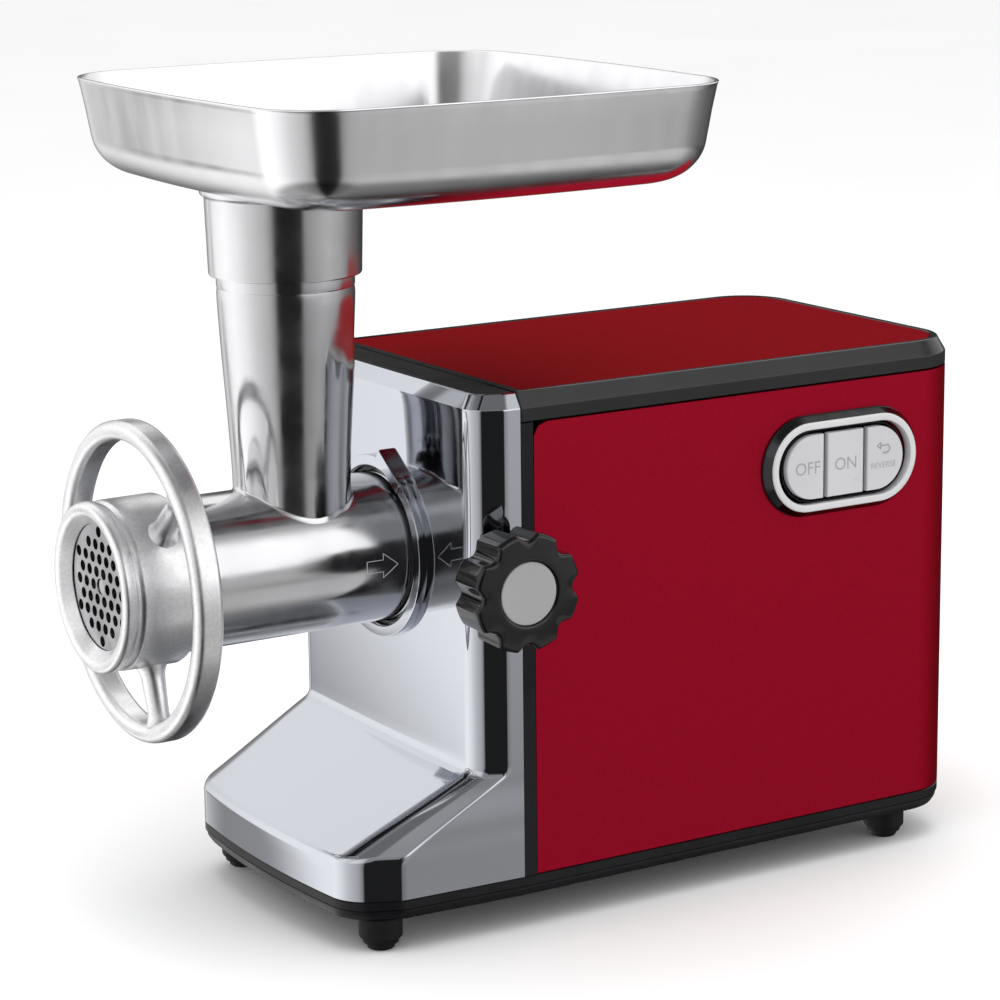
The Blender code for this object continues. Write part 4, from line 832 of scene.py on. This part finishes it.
def top_trim():
    """The dark rim with eased edges, the red panel it frames, and the strip over the casing."""
    low, top, front = RIM_LOW.z, RIM_HIGH.z, RIM_LOW.y
    lip = 7.3
    steps = [(0.5, low, 0.5), (0.0, low + 0.5, 0.0), (0.0, EDGE_Z - 0.4, 0.0), (0.35, EDGE_Z + 0.25, 0.0),
             (4.1, top - 0.3, 0.0), (4.7, top, 0.0), (lip - 0.5, top, 3.9), (lip, top - 0.4, 4.2),
             (lip, top - 2.6, 4.2), (12.0, top - 2.8, 8.5), (12.0, top - 4.8, 8.5), (3.2, EDGE_Z - 2.0, 3.2),
             (3.2, low, 3.2)]
    sections = []
    for inset, z, back in steps:
        plan = box_path(HALF_WIDTH - inset, front + back, REAR_Y - inset, 0.6, max(REAR_R - inset, 6.0), 14)
        sections.append(at_height(plan, z))
    rim = add("rim_moulding", skin(sections, ring=True), RIM_PLASTIC, "housing", "black_plastic")
    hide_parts("top_rim")

    high, sections = PANEL_HIGH, []
    for inset, z in ((0.0, PANEL_LOW.z), (0.0, high.z - 0.6), (0.2, high.z - 0.2), (0.6, high.z)):
        plan = box_path(high.x - inset, PANEL_LOW.y + inset, high.y - inset, 3.5 - inset, 22.4 - inset, 14)
        sections.append(at_height(plan, z))
    panel = add("painted_top", skin(sections), RED, "housing", "red_paint")
    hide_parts("top_panel")

    side, near, corner = HALF_WIDTH - 6.6, FACE_Y + 7.0, 11.0
    points = [(side, SEAM_Y), (-side, SEAM_Y), (-side, near), (side, near)]
    work = slab(rounded(points, [0.0, 0.0, corner, corner], 14), top - 3.4, top - 0.4, 0.8)
    strip = add("casing_strip", work, RIM_PLASTIC, "housing", "black_plastic")
    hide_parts("top_front_strip")


def base_path(inset):
    """The base's plan: the casing's own front, then the sides and the round rear corners."""
    half = HALF_WIDTH - inset
    front = front_plan(TOE_Y + inset, half - TOE_INSET, TOE_FACET, TOE_BOW, half)
    return front + box_path(-half, SEAM_Y, REAR_Y - inset, 0, REAR_R - inset, 12, False)[1:-1]


def base():
    """The moulded base with a step line round its middle, and air slots and screw recesses beneath."""
    low, high = BASE_LOW.z, BASE_HIGH.z
    line = low + 5.2
    steps = [(3.4, low), (2.6, low + 0.3), (0.9, low + 3.0), (0.6, line - 0.3), (0.9, line - 0.1),
             (0.9, line + 0.3), (0.0, line + 0.6), (0.0, high - 0.4), (0.4, high), (3.0, high),
             (3.6, low + 2.0), (4.0, low + 2.0)]
    work = skin([at_height(base_path(inset), z) for inset, z in steps])
    piece = add("base_moulding", work, BLACK_PLASTIC, "housing", "black_plastic", sharp=math.radians(25))
    slots = bmesh.new()
    first_slot, pitch, depth, recess = SEAM_Y + 108.1, 14.0, 12.0, 4.6
    for x in (-38.0, 38.0):
        for i in range(6):
            centre = Vector((x, first_slot + pitch * i, low))
            matrix = Matrix.Translation(centre) @ Matrix.Diagonal((28.0, 5.0, depth, 1.0))
            bmesh.ops.create_cube(slots, size=1.0, matrix=matrix)
    for end in ("front_left", "front_right", "rear_left", "rear_right"):
        corner, far = span(f"base_screw_{end}")
        centre = (corner + far) / 2
        matrix = Matrix.Translation((centre.x, centre.y, low))
        bmesh.ops.create_cone(slots, cap_ends=True, segments=24, radius1=recess, radius2=recess, depth=depth,
                              matrix=matrix)
    cut(piece, slots)
    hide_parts("base")


def feet():
    """Stepped rubber feet: a broad pad over a smaller tread, with eased edges."""
    for end in ("front", "rear"):
        for side in ("left", "right"):
            node = f"foot_{end}_{side}"
            low, high = span(node)
            centre = ((low.x + high.x) / 2, (low.y + high.y) / 2, 0)
            profile = [(0, high.z), (9.6, high.z), (10.0, high.z - 0.5), (10.0, 6.4), (9.7, 5.6), (8.6, 4.4),
                       (8.2, 3.6), (8.2, 3.0), (7.6, 2.7), (6.6, 2.6), (6.3, 0.6), (5.7, 0.0), (4.6, 0.0),
                       (4.2, 0.5), (0, 0.5)]
            piece = add(f"rubber_{node}", turned(profile, 48), RUBBER, "housing", "black_rubber", centre)
            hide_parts(node)


# -------- controls

def bezel():
    """A plated rim in two parts: a wide outer bevel whose near-black colour is painted shade, and a flat ring
    whose pale grey is a painted highlight.
    """
    outer = 24.2
    straight = (BEZEL_HIGH.y - BEZEL_LOW.y) / 2 - outer
    bevel = [(outer, 0.3), (outer, 0.9), (24.0, 1.2), (23.6, 1.4), (21.6, 4.4), (21.4, 4.5), (20.6, 4.5),
             (20.6, 0.3)]
    ring = [(21.3, 4.0), (21.3, 4.7), (21.0, 5.2), (20.5, 5.5), (18.5, 5.5), (18.1, 5.3), (17.8, 4.8),
            (17.7, 1.0), (20.4, 1.0), (20.4, 4.0)]
    # the bevel carries painted shade and the ring a painted highlight
    for name, steps, look in (("bezel_bevel", bevel, SHADED_BEZEL_CHROME), ("bezel_ring", ring, HIGHLIGHT_BEZEL)):
        sections = [at_height(stadium(straight + radius, radius), height) for radius, height in steps]
        add(name, skin(sections, ring=True), look, "housing", "chrome", PANEL_CENTRE, "X")
    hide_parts("control_bezel")


# Each key's word: its size, then its place along the key and up from the keys' middle
PRINT = {"off": (8.4, 1.2, -3.0), "on": (8.4, 0.0, -3.0), "reverse": (4.0, -1.2, -5.0)}


def key_outline(low, high, inset):
    """The stadium of the three keys, cut between two ends and drawn in by inset."""
    radius, half, outermost = 16.2 - inset, 35.0 - inset, 30.0
    near = low + inset if low > -outermost else -half
    far = high - inset if high < outermost else half
    return [(min(far, max(near, y)), z) for y, z in stadium(half, radius, 32)]


def keys():
    """Three silvered keys with eased edges and generic words and an arrow on them."""
    for name in ("off", "on", "reverse"):
        node = f"button_{name}"
        low, high = span(node)
        start, end = low.y - PANEL_Y, high.y - PANEL_Y
        face = high.x - HALF_WIDTH
        sections = []
        for inset, height in ((0.85, face - 3.2), (0.85, face - 0.7), (0.95, face - 0.3), (1.2, face)):
            sections.append(at_height(key_outline(start, end, inset), height))
        work = skin(sections)
        bmesh.ops.remove_doubles(work, verts=work.verts, dist=0.001)
        body = f"{name}_button"
        piece = add(f"key_{name}", work, KEY_SILVER, body, "button_silver", PANEL_CENTRE, "X",
                    math.radians(40))
        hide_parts(node)
        middle = (low.y + high.y) / 2
        size, aside, up = PRINT[name]
        label(name.upper(), size, middle + aside, PANEL_Z + up, high.x, body)
        if name == "reverse":
            turn_arrow(middle - 0.5, PANEL_Z + 4.0, high.x, body)


def label(words, size, y, z, x, body):
    """Flat print, a hair proud of the key."""
    text = bpy.data.curves.new(f"print_{words}", "FONT")
    text.body = words
    text.size = size * MM
    text.extrude = 0.03 * MM
    text.align_x = "CENTER"
    obj = linked(f"print_{words.lower()}", text)
    obj.matrix_world = Matrix.Translation(Vector((x + 0.02, y, z)) * MM) @ AXES["X"]
    text.materials.append(KEY_PRINT)
    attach(obj, body)


def turn_arrow(y, z, x, body):
    """A U-turn arrow that points back to the left."""
    def on_key(u, v):
        return (x + 0.03, y + u, z + v)
    bend, turn = 1.2, 1.8
    hook = [(-2.6, turn), (bend, turn)] + arc(bend, 0, turn, 90, -90, 8)[1:-1]
    hook += [(bend, -turn), (-1.0, -turn)]
    wrapped_line("print_turn_arrow", hook, False, 0.7, on_key, KEY_PRINT, body)
    head = [(-2.4, 3.4), (-4.4, 1.8), (-2.4, 0.2)]
    wrapped_line("print_turn_arrow_head", head, True, 0.5, on_key, KEY_PRINT, body)


# -------- lock knob

KNOB_STEPS = 240


def knob_section(share, cut_in=1.0):
    """Eight lobes with a round scallop between each two. cut_in says how deep the scallops are here."""
    depth, half, lobe = 3.7, 11.5, 45
    outline = []
    for k in range(KNOB_STEPS):
        angle = 360 * k / KNOB_STEPS
        off = abs((angle + lobe / 2) % lobe - lobe / 2)
        scallop = max(0.0, 1 - (off / half) ** 2)
        outline.append(polar(share * (KNOB_R - depth * cut_in * scallop), angle))
    return outline


def lock_knob():
    """A gloss knob with a domed face, a round recess and a flat grey cap."""
    back, face = KNOB_LOW.x, KNOB_HIGH.x
    start = back + 6.5
    dome = 2.2
    rows = [(0.84, start, 0.9), (0.92, start + 0.4, 1.0), (0.97, start + 1.4, 1.0),
            (0.985, start + 3.0, 1.0), (1.0, face - 5.0, 1.0)]
    for angle in range(0, 91, 15):
        out, up = polar(dome, angle)
        rows.append((1.0 - (dome - out) / KNOB_R, face - 2.7 + up, 1.0))
    rows += [(0.86, face - 0.35, 0.85), (0.76, face - 0.2, 0.35), (0.68, face - 0.1, 0.0), (0.60, face, 0.0)]
    sections = [at_height(knob_section(share, cut_in), x) for share, x, cut_in in rows]
    for radius, x in ((CAP_R + 0.9, face - 0.1), (CAP_R + 0.35, face - 0.6), (CAP_R + 0.35, face - 3.4)):
        sections.append(at_height([polar(radius, 360 * k / KNOB_STEPS) for k in range(KNOB_STEPS)], x))
    part = (GLOSS_BLACK, "knob", "gloss_black", KNOB_AXIS, "X")
    body = add("knob_moulding", skin(sections), *part, math.radians(40))
    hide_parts("lock_knob")
    hub = [(0, start + 2), (12.6, start + 2), (12.6, start - 1.0), (12.0, start - 2.0), (12.0, back + 0.5),
           (11.5, back), (4.0, back), (4.0, back + 3.0), (0, back + 3.0)]
    add("knob_collar", turned(hub, 64), *part)
    top = CAP_HIGH.x
    cap = [(0, top), (CAP_R - 0.5, top), (CAP_R - 0.1, top - 0.25), (CAP_R, top - 0.6), (CAP_R, CAP_LOW.x),
           (0, CAP_LOW.x)]
    disc = add("knob_disc", turned(cap, 96), CAP_GREY, "knob", "cap_grey", KNOB_AXIS, "X")
    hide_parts("knob_cap")


# -------- studio

FLOOR_RADIUS = 14.0
LAMP_SIZE, LAMP_POWER, LAMP_AT = 1.6, 24, (0.3, -0.3, 2.2)
LENS, SENSOR, CAMERA_AT = 115.21, 36.0, (1.261929, -0.775715, 0.513406)
CAMERA_TURN = (77.32023, 0.64568, 58.32547)  # degrees: up from straight down, roll, heading


def floor():
    """A pale floor. The metal reflects the room below the horizon instead of it."""
    look = Look("pale_floor", (0.92, 0.92, 0.92), 0.7)
    look.rough(look.noise(3, 2), 0.05)
    work = bmesh.new()
    bmesh.ops.create_circle(work, cap_ends=True, segments=96, radius=FLOOR_RADIUS / MM)
    mesh = made_mesh("floor", settled(work))
    mesh.materials.append(look.material)
    piece = linked("floor", mesh)
    piece.visible_glossy = False


def soft_lamp():
    """One wide soft light overhead, for a gentle shadow."""
    light = bpy.data.lights.new("overhead", "AREA")
    light.size = LAMP_SIZE
    light.energy = LAMP_POWER
    obj = linked("overhead", light)
    obj.visible_glossy = False
    obj.location = LAMP_AT
    obj.rotation_euler = (-obj.location).to_track_quat("-Z", "Y").to_euler()


def camera():
    data = bpy.data.cameras.new("camera")
    data.lens = LENS
    data.sensor_width = SENSOR
    obj = linked("camera", data)
    obj.location = CAMERA_AT
    obj.rotation_euler = [math.radians(angle) for angle in CAMERA_TURN]
    bpy.context.scene.camera = obj


FACING = -31.53  # the compass direction, from +X, of the side that the photographer stands on
STRENGTH = 1.5
# Brightness of the walls round the room: degrees from that side, positive to the photographer's right
WALLS = ((-180, 0.04), (-160, 0.30), (-140, 0.95), (-115, 1.30), (-95, 1.42), (-72, 1.20), (-50, 0.85),
         (-24, 0.58), (-15, 0.34), (-10, 0.02), (29, 0.02), (34, 0.36), (58, 0.54), (72, 0.66), (95, 0.50),
         (110, 0.30), (125, 0.18), (150, 0.07), (180, 0.04))
RIGHT_BOX = (0.35, 0.85)  # where it starts, as the sideways share of a direction, and how bright it is
CEILING = 1.15  # behind the object
CEILING_AHEAD = 0.22  # over the photographer
FRONT_GLOW = 0.35  # low over the photographer
SOFT_LIGHT = 1.05  # what lights the floor and the paint from all sides
LEFT_FADE, RIGHT_FADE = 0.66, 0.30  # how far the walls darken towards the floor
FLOOR_LIGHT = 0.32


def room():
    """What the metal reflects: pale walls with a dark gap on the photographer's side, and a ceiling."""
    world = bpy.data.worlds.new("room")
    world.use_nodes = True
    bpy.context.scene.world = world
    nodes, links = world.node_tree.nodes, world.node_tree.links
    direction = nodes.new("ShaderNodeSeparateXYZ")
    links.new(nodes.new("ShaderNodeTexCoord").outputs["Generated"], direction.inputs[0])

    def join(value, socket):
        if isinstance(value, (int, float)):
            socket.default_value = value
        else:
            links.new(value, socket)

    def calculate(kind, first, second=0.0):
        node = nodes.new("ShaderNodeMath")
        node.operation = kind
        join(first, node.inputs[0])
        join(second, node.inputs[1])
        return node.outputs[0]

    plus, minus, times = (partial(calculate, kind) for kind in ("ADD", "SUBTRACT", "MULTIPLY"))

    def step(source, low, high):
        node = nodes.new("ShaderNodeMapRange")
        node.interpolation_type = "SMOOTHSTEP"
        node.inputs["From Min"].default_value = low
        node.inputs["From Max"].default_value = high
        links.new(source, node.inputs["Value"])
        return node.outputs["Result"]

    def blend(share, first, second):
        node = nodes.new("ShaderNodeMix")
        for key, value in (("Factor", share), ("A", first), ("B", second)):
            join(value, node.inputs[key])
        return node.outputs["Result"]

    turn = math.radians(FACING)
    x, y, height = direction.outputs
    along = plus(times(x, math.cos(turn)), times(y, math.sin(turn)))
    aside = minus(times(y, math.cos(turn)), times(x, math.sin(turn)))
    around = plus(calculate("DIVIDE", calculate("ARCTAN2", aside, along), 2 * math.pi), 0.5)

    walls = nodes.new("ShaderNodeValToRGB")
    links.new(around, walls.inputs["Fac"])
    stops = walls.color_ramp.elements
    stops.remove(stops[1])
    for i, (degrees, value) in enumerate(WALLS):
        stop = stops.new(degrees / 360 + 0.5) if i else stops[0]
        stop.position = degrees / 360 + 0.5
        stop.color = (value / STRENGTH, value / STRENGTH, value / STRENGTH, 1.0)

    # the ceiling comes down low at the back and stays high over the photographer
    ceiling = blend(step(along, -0.35, 0.35), step(height, 0.26, 0.48), step(height, 0.60, 0.85))
    overhead = blend(step(along, -0.50, 0.0), CEILING, CEILING_AHEAD)

    # the walls darken towards the floor, on the left along a slant, and the floor itself is dark
    above_floor = step(height, -0.40, -0.33)
    slant = plus(times(around, 360.0), times(height, 110.0))
    left = times(minus(1.0, step(slant, 23.3, 36.3)), step(around, 0.111, 0.139))
    right = times(minus(1.0, step(height, -0.34, -0.18)), step(aside, 0.3, 0.6))
    further = times(right, plus(1.0, step(around, 0.661, 0.708)))
    left_light = minus(1.0, times(times(left, above_floor), LEFT_FADE))
    right_light = minus(1.0, times(times(further, above_floor), RIGHT_FADE))
    floor_light = blend(step(height, -0.80, -0.62), FLOOR_LIGHT, 1.0)
    low_light = times(floor_light, times(left_light, right_light))
    sideways, extra = RIGHT_BOX
    box = times(step(aside, sideways, sideways + 0.25), step(height, -0.02, 0.10))
    lit = plus(times(walls.outputs["Color"], STRENGTH), times(box, extra))
    sky = blend(ceiling, times(lit, low_light), overhead)
    glow = times(step(height, 0.22, 0.34), step(along, 0.5, 0.7))
    reflected = plus(sky, times(glow, FRONT_GLOW))
    path = nodes.new("ShaderNodeLightPath")
    seen = blend(path.outputs["Is Diffuse Ray"], reflected, SOFT_LIGHT)
    shade = nodes["Background"]
    shade.inputs["Color"].default_value = (1.0, 1.0, 1.0, 1.0)
    links.new(blend(path.outputs["Is Camera Ray"], seen, 1.0), shade.inputs["Strength"])


def settle_colours():
    bpy.context.scene.view_settings.view_transform = "Standard"
    bpy.context.scene.view_settings.look = "None"


# -------- the whole

paint_nodes()
tray()
neck()
barrel()
alignment_arrow()
ring_nut()
mincing_plate()
front_casing()
socket_trim()
body_shell()
top_trim()
base()
feet()
bezel()
keys()
lock_knob()
floor()
soft_lamp()
room()
camera()
settle_colours()
